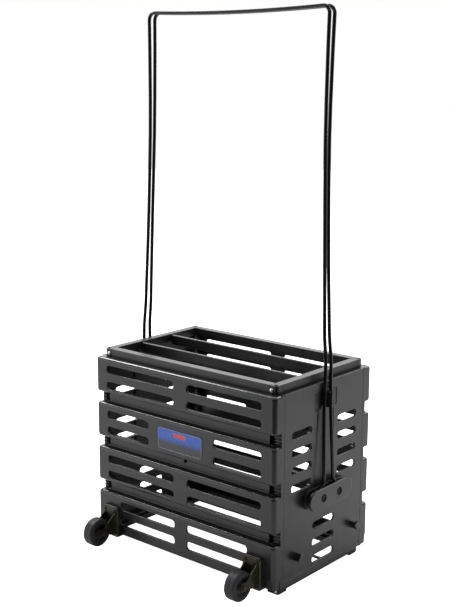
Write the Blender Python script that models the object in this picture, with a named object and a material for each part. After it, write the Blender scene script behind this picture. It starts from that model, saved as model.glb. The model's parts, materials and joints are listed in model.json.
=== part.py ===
"""Wheeled ball caddy: a slotted plastic box between two metal bar frames, carried by two wire bails.

The bails stand up as carrying handles and swing down past the box as legs. Two fixed wheels sit on the
front wall's lower corners. Everything is modelled in the box's own frame, with the box's underside at
z = 0 and its middle at x = y = 0, and hangs from one empty that puts the feet on the ground.
"""

import math

import bmesh
import bpy
from mathutils import Vector

# Plastic box
BOX_LENGTH = 0.400
BOX_DEPTH = 0.2645
BOX_HEIGHT = 0.320
WALL = 0.0032
GAP = 0.0003

# Long walls: four bulging courses with grooves between them
COURSE_COUNT = 4
COURSE_HEIGHT = 0.0625
COURSE_PITCH = 0.0815
COURSE_BULGE = 0.013
COURSE_CORNER = 0.007
COURSE_EDGE = 0.0035
COURSE_OVERLAP = 0.0015
POST_FRONT = 0.01725
POST_DEPTH = 0.0067
POST_WIDTH = 0.013
CAVITY_CLEARANCE = 0.0008
SLOT_ROWS = (0.019, 0.048)
SLOT_HEIGHT = 0.014
SLOT_CORNER = 0.0055
SLOT_SPANS = ((0.015, 0.1725), (0.073, 0.1725), (0.015, 0.1725), (0.014, 0.1445))
PAD_SPAN = (0.144, 0.179)
PAD_HEIGHTS = (-0.0015, 0.054)
PAD_THICK = 0.00725
PAD_ROUND = 0.003
PAD_EDGE = 0.001
RIB_HEIGHT = 0.003
RIB_OFFSET = 0.004
RIB_SPAN = (0.186, 0.1975)

# End walls
END_RETURN = 0.0122
END_SLOT_SPAN = (0.036, 0.088)
END_SLOT_LEVELS = (0.1596, 0.1889, 0.2182, 0.2475)
LOW_SLOT_LEVELS = (0.0218, 0.0511, 0.0804)
LOW_SLOT_HALF = 0.0297
END_SLOT_HEIGHT = 0.0128
CHANNEL_HALF = 0.027
CHANNEL_DEPTH = 0.003
CHANNEL_LEVELS = (0.149, 0.280)
POCKET_HALF = 0.0305
POCKET_DEPTH = 0.006
POCKET_LEVELS = (0.272, 0.3045)
POCKET_ROUND = 0.003
HOOK_LEVEL = 0.234
HOOK_REACH = (0.0075, 0.0055)
HOOK_WIDTH = 0.0065
HOOK_ROUND = 0.0014
HOOK_NOSE = 0.0036
HOOK_RIM = 0.0007
HOOK_PLANES = (0.2094, 0.2116, 0.2125)

# Bar frames above and below the box
TOP_HALF = (0.191, 0.11725)
TOP_LEVELS = (0.3203, 0.334)
TOP_CORNER = 0.015
LOW_HALF = (0.1945, 0.1125)
LOW_LEVELS = (-0.009, -0.0003)
FOOT_LEVEL = -0.014
FOOT_SIDE = 0.022
CORNER_ROUND = 0.005
EDGE = 0.0012
RAIL_WIDTH = 0.0147
RAIL_WALL = 0.002
LIP_PLANES = (0.1875, 0.1077)
LIP_THICK = 0.0022
TOP_LIP_HEIGHT = 0.018
LOW_LIP_HEIGHT = 0.005
BAR_OFFSET = 0.0387
BAR_THICK = 0.005
BAR_ROUND = 0.0018
TOP_BAR_LEVELS = (0.314, 0.332)
LOW_BAR_LEVELS = (-0.011, -0.0064)

# Wire bails and their pivots
WIRE_RADIUS = 0.0031
PIVOT_OFFSET = 0.0217
PIVOT_LEVEL = 0.1305
PIVOT_PLANE = 0.2084
EYE_RADIUS = 0.012
EYE_TURN = math.radians(255)
BEND_RADIUS = 0.020
FRONT_SWING = math.radians(152)
REAR_SWING = math.radians(146)
LEG_SPREAD = ((0.161, 0.2084), (0.270, 0.2040), (0.350, 0.2036), (0.360, 0.2031), (0.376, 0.2013),
              (0.396, 0.1994), (0.440, 0.1977),
              (0.500, 0.1952), (0.560, 0.1931), (0.620, 0.1912), (0.700, 0.1892), (0.760, 0.1889),
              (0.850, 0.1897), (0.895, 0.1906))
LEG_GAP = ((0.161, 0.0124), (0.320, 0.0076), (0.380, 0.0068), (0.440, 0.0060), (0.500, 0.0053),
           (0.560, 0.0049), (0.650, 0.0050), (0.750, 0.0055), (0.850, 0.0064), (0.895, 0.0067))
BAIL_TOP = 0.907
BAIL_CORNER = 0.012
BAIL_SAG = 0.004
LEAN = 0.0087
LEAN_FROM = 0.370
LEAN_POWER = 1.25
WIRE_CLEARANCE = 0.0004
BRACKET_LENGTH = 0.117
BRACKET_HEIGHT = 0.0345
BASE_THICK = 0.0046
COVER_PLANES = (0.2119, 0.216)
BOSS_RADIUS = 0.0084
PIVOT_BORE = 0.0026
SCREW_SEAT_RADIUS = 0.0068
SCREW_SEAT_DEPTH = 0.0026
RIM_HALF = 0.0105
RIM_HEIGHT = 0.003
KEEPER_ROOT = 0.005
KEEPER_TIP = 0.0037
KEEPER_PLANE = 0.2145
KEEPER_LEVELS = (0.2785, 0.3035)
KEEPER_EDGE = 0.001

# Label
LABEL_SIZE = (0.0985, 0.0375)
LABEL_LEVEL = 0.205
LABEL_THICK = 0.0006
LABEL_ROUND = 0.0045

# Wheels
WHEEL_X = 0.1615
WHEEL_Y = -0.1735
WHEEL_Z = 0.0164
WHEEL_RADIUS = 0.0245
WHEEL_WIDTH = 0.020
HUB_RADIUS = 0.0162
AXLE_RADIUS = 0.003
EAR_OUTSIDE = 0.0128
SHEET = 0.002
PLATE_HALF = 0.0175
PLATE_LEVELS = (0.0035, 0.0525)
EAR_TOP = 0.045
EAR_ROUND = 0.0078
EAR_NOTCH = (0.0145, -0.0072)
HUB_BOSS = 0.0064
HUB_RIM = 0.0027
HUB_DISH = 0.0023
TYRE_SHOULDER = 0.0032

# Screws, as head radius, head height, shank radius, shank length
RAIL_SCREW = (0.0040, 0.0018, 0.0016, 0.0075)
BRACKET_SCREW = (0.0034, 0.0017, 0.0016, 0.0075)
PIVOT_SCREW = (0.0048, 0.0019, 0.0022, 0.0105)
RAIL_SCREW_X = 0.1805
RAIL_SCREW_LEVEL = 0.3252
FOOT_SCREW_X = 0.1885
PILOT_RADIUS = 0.0020
PILOT_DEPTH = 0.009
BRACKET_SCREW_SPREAD = 0.0112
BRACKET_SCREW_LEVEL = 0.0478
BOLT_HEAD = 0.0052
NUT_RADIUS = 0.0055
NUT_HEIGHT = 0.0034
BOLT_TAIL = 0.0046

FRONT = -BOX_DEPTH / 2
END = BOX_LENGTH / 2
GROOVE_PLANE = FRONT + COURSE_BULGE
MIDDLE_SHIFT = (WHEEL_RADIUS - WHEEL_Y + FRONT) / 2


def clear_scene():
    for obj in list(bpy.data.objects):
        bpy.data.objects.remove(obj, do_unlink=True)


def make_material(name, colour, roughness, metallic):
    material = bpy.data.materials.new(name)
    material.use_nodes = True
    shader = material.node_tree.nodes["Principled BSDF"]
    shader.inputs["Base Color"].default_value = (*colour, 1.0)
    shader.inputs["Roughness"].default_value = roughness
    shader.inputs["Metallic"].default_value = metallic
    return material


def make_object(name, bm, material, parent, location=(0.0, 0.0, 0.0), turn=0.0):
    mesh = bpy.data.meshes.new(name)
    bm.to_mesh(mesh)
    bm.free()
    mesh.materials.append(material)
    mesh.shade_smooth()
    mesh.set_sharp_from_angle(angle=math.radians(32))
    obj = bpy.data.objects.new(name, mesh)
    bpy.context.scene.collection.objects.link(obj)
    obj.parent = parent
    obj.location = location
    obj.rotation_euler = (0.0, 0.0, turn)
    return obj


def combine(target, operand, operation):
    """A Boolean with a hidden helper that stays beside the piece it shapes."""
    operand.hide_render = True
    operand.display_type = "WIRE"
    modifier = target.modifiers.new(operand.name, "BOOLEAN")
    modifier.operation = operation
    modifier.object = operand
    modifier.solver = "EXACT"


def prism(bm, outline, along, low, high):
    """Extrudes a closed outline; its two coordinates are the axes left over from along, in order."""
    places = {
        "X": lambda u, v, w: (w, u, v),
        "Y": lambda u, v, w: (u, w, v),
        "Z": lambda u, v, w: (u, v, w),
    }
    place = places[along]
    lower = [bm.verts.new(place(u, v, low)) for u, v in outline]
    upper = [bm.verts.new(place(u, v, high)) for u, v in outline]
    faces = [bm.faces.new(lower), bm.faces.new(upper)]
    for i in range(len(outline)):
        j = (i + 1) % len(outline)
        faces.append(bm.faces.new((lower[i], lower[j], upper[j], upper[i])))
    bmesh.ops.recalc_face_normals(bm, faces=faces)
    return faces


def box(bm, low, high):
    outline = ((low[0], low[1]), (high[0], low[1]), (high[0], high[1]), (low[0], high[1]))
    return prism(bm, outline, "Z", low[2], high[2])


def stacked(bm, outlines, planes):
    """Joins outlines of one length, each at its own plane along X, into a closed body."""
    rings = []
    for outline, plane in zip(outlines, planes):
        rings.append([bm.verts.new((plane, u, v)) for u, v in outline])
    faces = [bm.faces.new(rings[0]), bm.faces.new(rings[-1])]
    for lower, upper in zip(rings, rings[1:]):
        for i in range(len(lower)):
            j = (i + 1) % len(lower)
            faces.append(bm.faces.new((lower[i], lower[j], upper[j], upper[i])))
    bmesh.ops.recalc_face_normals(bm, faces=faces)


def arc(centre, radius, start, end, steps):
    points = []
    for i in range(steps + 1):
        angle = math.radians(start + (end - start) * i / steps)
        points.append((centre[0] + radius * math.cos(angle), centre[1] + radius * math.sin(angle)))
    return points


def rounded_rectangle(low, high, radius, steps=2):
    corners = (
        ((high[0] - radius, high[1] - radius), 0),
        ((low[0] + radius, high[1] - radius), 90),
        ((low[0] + radius, low[1] + radius), 180),
        ((high[0] - radius, low[1] + radius), 270),
    )
    points = []
    for centre, start in corners:
        for point in arc(centre, radius, start, start + 90, steps):
            if not points or math.dist(point, points[-1]) > 1e-6:
                points.append(point)
    if math.dist(points[0], points[-1]) < 1e-6:
        points.pop()
    return points


def soften(bm, faces, width, segments, test):
    """Bevels those edges of the faces that pass the test on their two ends."""
    edges = {edge for face in faces for edge in face.edges}
    chosen = [edge for edge in edges if test(edge.verts[0].co, edge.verts[1].co)]
    bmesh.ops.bevel(bm, geom=chosen, offset=width, segments=segments, profile=0.5, affect="EDGES")


def turned(bm, profile, segments, along="X", centre=(0.0, 0.0, 0.0)):
    """Turns (radius, distance) points about an axis. A profile that starts off the axis makes a ring."""
    rings = []
    for radius, distance in profile:
        ring = []
        count = 1 if radius == 0 else segments
        for i in range(count):
            angle = 2 * math.pi * i / segments
            across, up = radius * math.cos(angle), radius * math.sin(angle)
            local = (distance, across, up) if along == "X" else (across, distance, up)
            ring.append(bm.verts.new(Vector(local) + Vector(centre)))
        rings.append(ring)
    pairs = list(zip(rings, rings[1:]))
    if profile[0][0] > 0:
        pairs.append((rings[-1], rings[0]))
    faces = []
    for first, second in pairs:
        for i in range(segments):
            j = (i + 1) % segments
            corners = [first[i % len(first)], first[j % len(first)]]
            corners += [second[j % len(second)], second[i % len(second)]]
            faces.append(bm.faces.new(list(dict.fromkeys(corners))))
    bmesh.ops.recalc_face_normals(bm, faces=faces)


def course_levels(index):
    top = BOX_HEIGHT - index * COURSE_PITCH
    bottom = top - COURSE_HEIGHT if index < COURSE_COUNT - 1 else 0.0
    return bottom, top


def course_outline():
    """Plan of one course: rounded front corners, and a back that meets the wall and the corner posts."""
    inner = END - POST_WIDTH + COURSE_OVERLAP
    wall_back = GROOVE_PLANE + COURSE_OVERLAP
    post_back = FRONT + POST_FRONT + 2 * COURSE_OVERLAP
    points = arc((-END + COURSE_CORNER, FRONT + COURSE_CORNER), COURSE_CORNER, 180, 270, 3)
    points += arc((END - COURSE_CORNER, FRONT + COURSE_CORNER), COURSE_CORNER, 270, 360, 3)
    points += [(END, post_back), (inner, post_back), (inner, wall_back)]
    points += [(-inner, wall_back), (-inner, post_back), (-END, post_back)]
    return points


def long_wall_blank():
    """Plan of the groove wall with its two corner posts, extruded over the full height."""
    post_x = END - POST_WIDTH
    post_front = FRONT + POST_FRONT
    post_back = post_front + POST_DEPTH
    wall_back = GROOVE_PLANE + WALL
    bm = bmesh.new()
    outline = [(-post_x, GROOVE_PLANE), (post_x, GROOVE_PLANE), (post_x, post_front), (END, post_front)]
    outline += [(END, post_back), (post_x - WALL, post_back), (post_x - WALL, wall_back)]
    outline += [(WALL - post_x, wall_back), (WALL - post_x, post_back), (-END, post_back)]
    outline += [(-END, post_front), (-post_x, post_front)]
    prism(bm, outline, "Z", 0.0, BOX_HEIGHT)
    return bm


def courses_blank():
    bm = bmesh.new()
    for index in range(COURSE_COUNT):
        bottom, top = course_levels(index)
        faces = prism(bm, course_outline(), "Z", bottom, top)
        limit = FRONT + POST_FRONT

        def on_outer_rim(a, b, limit=limit):
            return abs(a.z - b.z) < 1e-6 and max(a.y, b.y) < limit

        soften(bm, faces, COURSE_EDGE, 1, on_outer_rim)
    return bm


def cavities_blank():
    """The hollow behind each course, open towards the inside of the box."""
    side = END - WALL
    front = FRONT + WALL
    corner_back = FRONT + POST_FRONT - COURSE_OVERLAP
    inner = END - POST_WIDTH - WALL - CAVITY_CLEARANCE
    back = FRONT + POST_FRONT + POST_DEPTH + WALL
    outline = [(-side, front), (side, front), (side, corner_back), (inner, corner_back), (inner, back)]
    outline += [(-inner, back), (-inner, corner_back), (-side, corner_back)]
    bm = bmesh.new()
    for index in range(COURSE_COUNT):
        bottom, top = course_levels(index)
        prism(bm, outline, "Z", bottom + WALL, top - WALL)
    return bm


def long_slots(with_pads):
    bm = bmesh.new()
    for index in range(COURSE_COUNT):
        top = course_levels(index)[1]
        inner, outer = SLOT_SPANS[index]
        if index == COURSE_COUNT - 1 and not with_pads:
            inner, outer = SLOT_SPANS[0]
        for row in SLOT_ROWS:
            low, high = top - row - SLOT_HEIGHT / 2, top - row + SLOT_HEIGHT / 2
            for near, far in ((inner, outer), (-outer, -inner)):
                outline = rounded_rectangle((near, low), (far, high), SLOT_CORNER)
                prism(bm, outline, "Y", FRONT - WALL, FRONT + 2 * WALL)
    if with_pads:
        for x in bracket_screw_places():
            prism(bm, arc((x, BRACKET_SCREW_LEVEL), PILOT_RADIUS, 0, 330, 11), "Y",
                  FRONT - 2 * PAD_THICK, FRONT - EDGE)
    return bm


def wall_details(with_pads):
    """Knuckle ribs in the corner pockets of the grooves and, in front, the pads that carry the wheels."""
    bm = bmesh.new()
    for index in range(1, COURSE_COUNT):
        middle = course_levels(index)[1] + (COURSE_PITCH - COURSE_HEIGHT) / 2
        for side in (-1, 1):
            near, far = sorted((side * RIB_SPAN[0], side * RIB_SPAN[1]))
            for offset in (-RIB_OFFSET, RIB_OFFSET):
                low = middle + offset - RIB_HEIGHT / 2
                box(bm, (near, GROOVE_PLANE + GAP, low), (far, FRONT + POST_FRONT + EDGE, low + RIB_HEIGHT))
    if with_pads:
        for side in (-1, 1):
            near, far = sorted((side * PAD_SPAN[0], side * PAD_SPAN[1]))
            outline = rounded_rectangle((near, PAD_HEIGHTS[0]), (far, PAD_HEIGHTS[1]), PAD_ROUND)
            faces = prism(bm, outline, "Y", FRONT - PAD_THICK, FRONT + WALL / 2)

            def on_face(a, b):
                return max(a.y, b.y) < FRONT - PAD_THICK + 1e-6

            soften(bm, faces, PAD_EDGE, 1, on_face)
    return bm


def build_long_panel(name, plastic, parent, turn, with_pads):
    panel = make_object(name, long_wall_blank(), plastic, parent, turn=turn)
    for suffix, bm, operation in (
        ("courses", courses_blank(), "UNION"),
        ("details", wall_details(with_pads), "UNION"),
        ("cavities", cavities_blank(), "DIFFERENCE"),
        ("slots", long_slots(with_pads), "DIFFERENCE"),
    ):
        combine(panel, make_object(f"{name}_{suffix}", bm, plastic, parent, turn=turn), operation)
    return panel


def end_wall_half():
    return -FRONT - POST_FRONT - POST_DEPTH - GAP


def end_wall_blank():
    """The end wall as a full block, before its hollow side is cut out."""
    bm = bmesh.new()
    half = end_wall_half()
    box(bm, (END - END_RETURN, -half, 0.0), (END, half, BOX_HEIGHT))
    return bm


def end_hollow():
    bm = bmesh.new()
    half = end_wall_half() - WALL
    box(bm, (END - 2 * END_RETURN, -half, WALL), (END - WALL, half, BOX_HEIGHT - WALL))
    return bm


def lowered_wire(level, swing):
    """Middle of a lowered bail's leg, from the pivot, as distance across and height."""
    offset = PIVOT_OFFSET - along_knots(LEG_GAP, level)
    height = level - PIVOT_LEVEL
    across = offset * math.cos(swing) - height * math.sin(swing)
    up = offset * math.sin(swing) + height * math.cos(swing)
    return Vector((across, up))


def hook_outline(side, swing, margin, nose):
    """A block beside the lowered wire, on the far side of its swing; nose is its reach over the wire."""
    middle = lowered_wire(HOOK_LEVEL, swing)
    down = (lowered_wire(HOOK_LEVEL + GAP, swing) - middle).normalized()
    away = Vector((-down.y, down.x))
    middle += away * (WIRE_RADIUS + WIRE_CLEARANCE)
    outline = []
    for along, depth in rounded_rectangle((-HOOK_REACH[0] - margin, -nose),
                                          (HOOK_REACH[1] + margin, HOOK_WIDTH + margin), HOOK_ROUND):
        across, up = middle + down * along + away * depth
        outline.append((side * (PIVOT_OFFSET - across), PIVOT_LEVEL + up))
    return outline


def pocket_blank():
    bm = bmesh.new()
    side = POCKET_HALF + WALL
    box(bm, (END - POCKET_DEPTH - WALL, -side, POCKET_LEVELS[0] - WALL),
        (END - WALL / 2, side, BOX_HEIGHT - WALL / 2))
    return bm


def channel_blank():
    bm = bmesh.new()
    side = CHANNEL_HALF + WALL
    box(bm, (END - CHANNEL_DEPTH - WALL, -side, CHANNEL_LEVELS[0] - WALL),
        (END - WALL / 3, side, POCKET_LEVELS[0] + WALL))
    return bm


def hooks_blank(rear_side):
    """Blocks with a nose, which keep a lowered bail against the wall. The rear legs stand wider."""
    under, edge, face = HOOK_PLANES
    bm = bmesh.new()
    for side in (-1, 1):
        swing = REAR_SWING if side == rear_side else FRONT_SWING
        neck = hook_outline(side, swing, 0.0, 0.0)
        head = hook_outline(side, swing, HOOK_RIM, HOOK_NOSE)
        tip = hook_outline(side, swing, 0.0, HOOK_NOSE - HOOK_RIM)
        stacked(bm, (neck, neck, head, head, tip), (END - WALL / 3, under, under, edge, face))
    return bm


def end_cuts():
    """The channel and pocket for the wires and the grille's slots."""
    bm = bmesh.new()
    low, high = (-POCKET_HALF, POCKET_LEVELS[0]), (POCKET_HALF, POCKET_LEVELS[1])
    prism(bm, rounded_rectangle(low, high, POCKET_ROUND), "X", END - POCKET_DEPTH, END + WALL)
    slots = [(-LOW_SLOT_HALF, LOW_SLOT_HALF, level) for level in LOW_SLOT_LEVELS]
    for level in END_SLOT_LEVELS:
        slots.append((END_SLOT_SPAN[0], END_SLOT_SPAN[1], level))
        slots.append((-END_SLOT_SPAN[1], -END_SLOT_SPAN[0], level))
    half = END_SLOT_HEIGHT / 2
    for near, far, level in slots:
        outline = rounded_rectangle((near, level - half), (far, level + half), SLOT_CORNER)
        prism(bm, outline, "X", END - 2 * WALL, END + WALL)
    return bm


def channel_cut():
    bm = bmesh.new()
    outline = ((-CHANNEL_HALF, CHANNEL_LEVELS[0]), (CHANNEL_HALF, CHANNEL_LEVELS[0]),
               (CHANNEL_HALF, CHANNEL_LEVELS[1]), (-CHANNEL_HALF, CHANNEL_LEVELS[1]))
    prism(bm, outline, "X", END - CHANNEL_DEPTH, END + WALL)
    return bm


def build_end_panel(name, plastic, parent, turn):
    panel = make_object(name, end_wall_blank(), plastic, parent, turn=turn)
    for suffix, bm, operation in (
        ("hollow", end_hollow(), "DIFFERENCE"),
        ("pocket", pocket_blank(), "UNION"),
        ("channel", channel_blank(), "UNION"),
        ("hooks", hooks_blank(-1 if turn else 1), "UNION"),
        ("cuts", end_cuts(), "DIFFERENCE"),
        ("channel_cut", channel_cut(), "DIFFERENCE"),
    ):
        combine(panel, make_object(f"{name}_{suffix}", bm, plastic, parent, turn=turn), operation)
    return panel


def along_knots(knots, level):
    """Straight from knot to knot, and level beyond the ends."""
    if level <= knots[0][0]:
        return knots[0][1]
    for (start, first), (end, second) in zip(knots, knots[1:]):
        if level <= end:
            return first + (second - first) * (level - start) / (end - start)
    return knots[-1][1]


def screw(bm, centre, along, inward, size, segments=10):
    """A pan-head screw whose head rests on centre and whose shank points inward."""
    head_radius, head_height, shank_radius, shank_length = size
    profile = (
        (0.0, -head_height),
        (0.6 * head_radius, -head_height),
        (head_radius, -0.4 * head_height),
        (head_radius, 0.0),
        (shank_radius, 0.0),
        (shank_radius, shank_length),
        (0.0, shank_length),
    )
    turned(bm, [(radius, inward * distance) for radius, distance in profile], segments, along, centre)


def rail_profile(outer, lip, levels, lip_end):
    """Section of a rail along X: a channel open towards the box, with a lip that hugs the box's inside."""
    inner = RAIL_WIDTH - outer
    near, far = sorted(levels, key=lambda level: abs(lip_end - level))
    web = far + math.copysign(RAIL_WALL, near - far)
    return [(-outer, near), (RAIL_WALL - outer, near), (RAIL_WALL - outer, web), (-lip, web), (-lip, lip_end),
            (LIP_THICK - lip, lip_end), (LIP_THICK - lip, web), (inner - RAIL_WALL, web),
            (inner - RAIL_WALL, near), (inner, near), (inner, far), (-outer, far)]


def build_rail(name, steel, parent, turn, half_length, outer, lip, levels, lip_end):
    bm = bmesh.new()
    faces = prism(bm, rail_profile(outer, lip, levels, lip_end), "X", -half_length, half_length)
    outside = levels[1] if lip_end < levels[0] else levels[0]

    def on_outside(a, b):
        return abs(a.z - outside) < 1e-6 and abs(b.z - outside) < 1e-6 and abs(a.y - b.y) < 1e-6

    soften(bm, faces, EDGE, 1, on_outside)
    return make_object(name, bm, steel, parent, turn=turn)


def build_corner(name, plastic, parent, signs, half, side, levels, screw_place):
    """A corner block with its outer corner rounded and a pilot hole in its long face."""
    outer_x, outer_y = half
    outline = [(outer_x - side, outer_y), (outer_x - side, outer_y - side), (outer_x, outer_y - side)]
    outline += arc((outer_x - CORNER_ROUND, outer_y - CORNER_ROUND), CORNER_ROUND, 0, 90, 3)
    bm = bmesh.new()
    faces = prism(bm, [(signs[0] * x, signs[1] * y) for x, y in outline], "Z", levels[0], levels[1])
    outside = max(levels, key=lambda level: abs(level - BOX_HEIGHT / 2))

    def on_outside(a, b):
        return abs(a.z - outside) < 1e-6 and abs(b.z - outside) < 1e-6

    soften(bm, faces, EDGE, 1, on_outside)
    block = make_object(name, bm, plastic, parent)
    hole = bmesh.new()
    near, far = sorted((signs[1] * (outer_y - PILOT_DEPTH), signs[1] * (outer_y + PILOT_DEPTH)))
    prism(hole, arc((signs[0] * screw_place[0], screw_place[1]), PILOT_RADIUS, 0, 330, 11), "Y", near, far)
    combine(block, make_object(name + "_pilot", hole, plastic, parent), "DIFFERENCE")
    return block


def build_bar_frames(steel, plastic, chrome, parent):
    """Four rails, four corners and two bars above the box and again below it."""
    top_lip_end = TOP_LEVELS[0] - TOP_LIP_HEIGHT
    low_lip_end = LOW_LIP_HEIGHT - GAP
    top_screw_place = (RAIL_SCREW_X, RAIL_SCREW_LEVEL)
    low_screw_place = (FOOT_SCREW_X, (FOOT_LEVEL + LOW_LEVELS[1]) / 2)
    foot_levels = (FOOT_LEVEL, LOW_LEVELS[1])
    for place, corner_name, half, side, levels, lip_end, corner_levels, screw_place in (
        ("top", "top_corner", TOP_HALF, TOP_CORNER, TOP_LEVELS, top_lip_end, TOP_LEVELS, top_screw_place),
        ("low", "foot", LOW_HALF, FOOT_SIDE, LOW_LEVELS, low_lip_end, foot_levels, low_screw_place),
    ):
        for index, name in enumerate(("front", "right", "rear", "left")):
            across = index % 2
            length = half[across] - side - GAP
            build_rail(f"{place}_rail_{name}", steel, parent, index * math.pi / 2, length,
                       half[1 - across], LIP_PLANES[1 - across], levels, lip_end)
        for y_name, y_sign in (("front", -1), ("rear", 1)):
            for x_name, x_sign in (("left", -1), ("right", 1)):
                where = f"{y_name}_{x_name}"
                build_corner(f"{corner_name}_{where}", plastic, parent, (x_sign, y_sign), half, side,
                             corner_levels, screw_place)
                bm = bmesh.new()
                centre = (x_sign * screw_place[0], y_sign * (half[1] + GAP), screw_place[1])
                screw(bm, centre, "Y", -y_sign, RAIL_SCREW)
                make_object(f"{place}_screw_{where}", bm, chrome, parent)
    for place, half, levels in (
        ("top_bar", TOP_HALF[0], TOP_BAR_LEVELS),
        ("pickup_bar", LOW_HALF[0], LOW_BAR_LEVELS),
    ):
        half_length = half - RAIL_WIDTH - GAP
        section = rounded_rectangle((-BAR_THICK / 2, levels[0]), (BAR_THICK / 2, levels[1]), BAR_ROUND)
        for name, y in (("front", -BAR_OFFSET), ("rear", BAR_OFFSET)):
            bm = bmesh.new()
            prism(bm, section, "X", -half_length, half_length)
            make_object(f"{place}_{name}", bm, steel, parent, location=(0.0, y, 0.0))


def lean_at(level):
    return LEAN * (max(0.0, level - LEAN_FROM) / (BAIL_TOP - LEAN_FROM)) ** LEAN_POWER


def half_bail(side):
    """Middle line of one half of a bail, from the end of the eye to the middle of the crossbar."""
    points = []
    bend_y = LEG_GAP[0][1] + BEND_RADIUS
    bend_rise = math.sqrt((BEND_RADIUS + EYE_RADIUS) ** 2 - (bend_y - PIVOT_OFFSET) ** 2)
    meeting = math.atan2(bend_y - PIVOT_OFFSET, bend_rise)
    for i in range(12):
        turn = EYE_TURN + (meeting - EYE_TURN) * i / 11
        y = side * (PIVOT_OFFSET + EYE_RADIUS * math.sin(turn))
        points.append((PIVOT_PLANE, y, PIVOT_LEVEL + EYE_RADIUS * math.cos(turn)))
    for i in range(1, 6):
        angle = meeting + (math.pi / 2 - meeting) * i / 5
        y = side * (bend_y - BEND_RADIUS * math.sin(angle))
        points.append((PIVOT_PLANE, y, PIVOT_LEVEL + bend_rise - BEND_RADIUS * math.cos(angle)))
    corner_level = BAIL_TOP - BAIL_CORNER
    levels = sorted({level for level, _ in LEG_SPREAD[1:-1] + LEG_GAP[1:-1]} | {0.200, 0.235, corner_level})
    for level in levels:
        y = side * along_knots(LEG_GAP, level) + lean_at(level)
        points.append((along_knots(LEG_SPREAD, level), y, level))
    top_half = LEG_SPREAD[-1][1] - BAIL_CORNER
    y = side * LEG_GAP[-1][1] + lean_at(BAIL_TOP)
    for angle in (22.5, 45.0, 67.5, 90.0):
        across = top_half + BAIL_CORNER * math.cos(math.radians(angle))
        points.append((across, y, corner_level + BAIL_CORNER * math.sin(math.radians(angle))))
    for share in (0.75, 0.5, 0.25, 0.0):
        points.append((top_half * share, y, BAIL_TOP - BAIL_SAG * (1 - share * share)))
    return points


def build_bail(name, gloss, parent, side):
    pivot = Vector((0.0, side * PIVOT_OFFSET, PIVOT_LEVEL))
    half = half_bail(side)
    path = half + [(-x, y, z) for x, y, z in reversed(half[:-1])]
    curve = bpy.data.curves.new(name, "CURVE")
    curve.dimensions = "3D"
    curve.bevel_depth = WIRE_RADIUS
    curve.bevel_resolution = 2
    curve.use_fill_caps = True
    spline = curve.splines.new("POLY")
    spline.points.add(len(path) - 1)
    for point, place in zip(spline.points, path):
        point.co = (*(Vector(place) - pivot), 1.0)
    curve.materials.append(gloss)
    obj = bpy.data.objects.new(name, curve)
    bpy.context.scene.collection.objects.link(obj)
    obj.parent = parent
    obj.location = pivot
    return obj


def bracket_outline():
    half_length, half_height = BRACKET_LENGTH / 2, BRACKET_HEIGHT / 2
    low = (-half_length, PIVOT_LEVEL - half_height)
    high = (half_length, PIVOT_LEVEL + half_height)
    return rounded_rectangle(low, high, half_height, 5)


def build_pivot(side_name, plastic, blacked, parent, turn):
    """Base, cover and two screws that hold the eyes of both bails on one end wall."""
    base_face = END + BASE_THICK + GAP
    root, boss_face = base_face - EDGE, COVER_PLANES[0] - GAP
    bracket_foot = PIVOT_LEVEL - BRACKET_HEIGHT / 2 + GAP
    bm = bmesh.new()
    prism(bm, bracket_outline(), "X", END + GAP, base_face)
    base = make_object(f"pivot_base_{side_name}", bm, plastic, parent, turn=turn)
    boss_profile = ((0.0, root), (BOSS_RADIUS, root), (BOSS_RADIUS, boss_face), (0.0, boss_face))
    bosses = bmesh.new()
    bores = bmesh.new()
    for y in (-PIVOT_OFFSET, PIVOT_OFFSET):
        turned(bosses, boss_profile, 14, "X", (0.0, y, PIVOT_LEVEL))
        prism(bores, arc((y, PIVOT_LEVEL), PIVOT_BORE, 0, 330, 11), "X", END + EDGE, COVER_PLANES[1])
    box(bosses, (root, -RIM_HALF, bracket_foot), (boss_face, RIM_HALF, bracket_foot + RIM_HEIGHT))
    for suffix, helper, operation in (("bosses", bosses, "UNION"), ("bores", bores, "DIFFERENCE")):
        operand = make_object(f"pivot_base_{side_name}_{suffix}", helper, plastic, parent, turn=turn)
        combine(base, operand, operation)

    cover_back, cover_face = COVER_PLANES
    bm = bmesh.new()
    faces = prism(bm, bracket_outline(), "X", cover_back, cover_face)

    def on_front(a, b):
        return min(a.x, b.x) > cover_face - 1e-6

    soften(bm, faces, EDGE, 1, on_front)
    cover = make_object(f"pivot_cover_{side_name}", bm, plastic, parent, turn=turn)
    seat = cover_face - SCREW_SEAT_DEPTH
    hole_profile = ((0.0, END), (PIVOT_BORE, END), (PIVOT_BORE, seat), (SCREW_SEAT_RADIUS, seat),
                    (SCREW_SEAT_RADIUS, cover_face + EDGE), (0.0, cover_face + EDGE))
    holes = bmesh.new()
    for y in (-PIVOT_OFFSET, PIVOT_OFFSET):
        turned(holes, hole_profile, 14, "X", (0.0, y, PIVOT_LEVEL))
    cutter = make_object(f"pivot_cover_{side_name}_holes", holes, plastic, parent, turn=turn)
    combine(cover, cutter, "DIFFERENCE")
    toward_front = 1 if turn else -1
    for y_name, y in (("front", toward_front * PIVOT_OFFSET), ("rear", -toward_front * PIVOT_OFFSET)):
        bm = bmesh.new()
        screw(bm, (seat + GAP, y, PIVOT_LEVEL), "X", -1, PIVOT_SCREW)
        make_object(f"pivot_screw_{side_name}_{y_name}", bm, blacked, parent, turn=turn)


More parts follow.
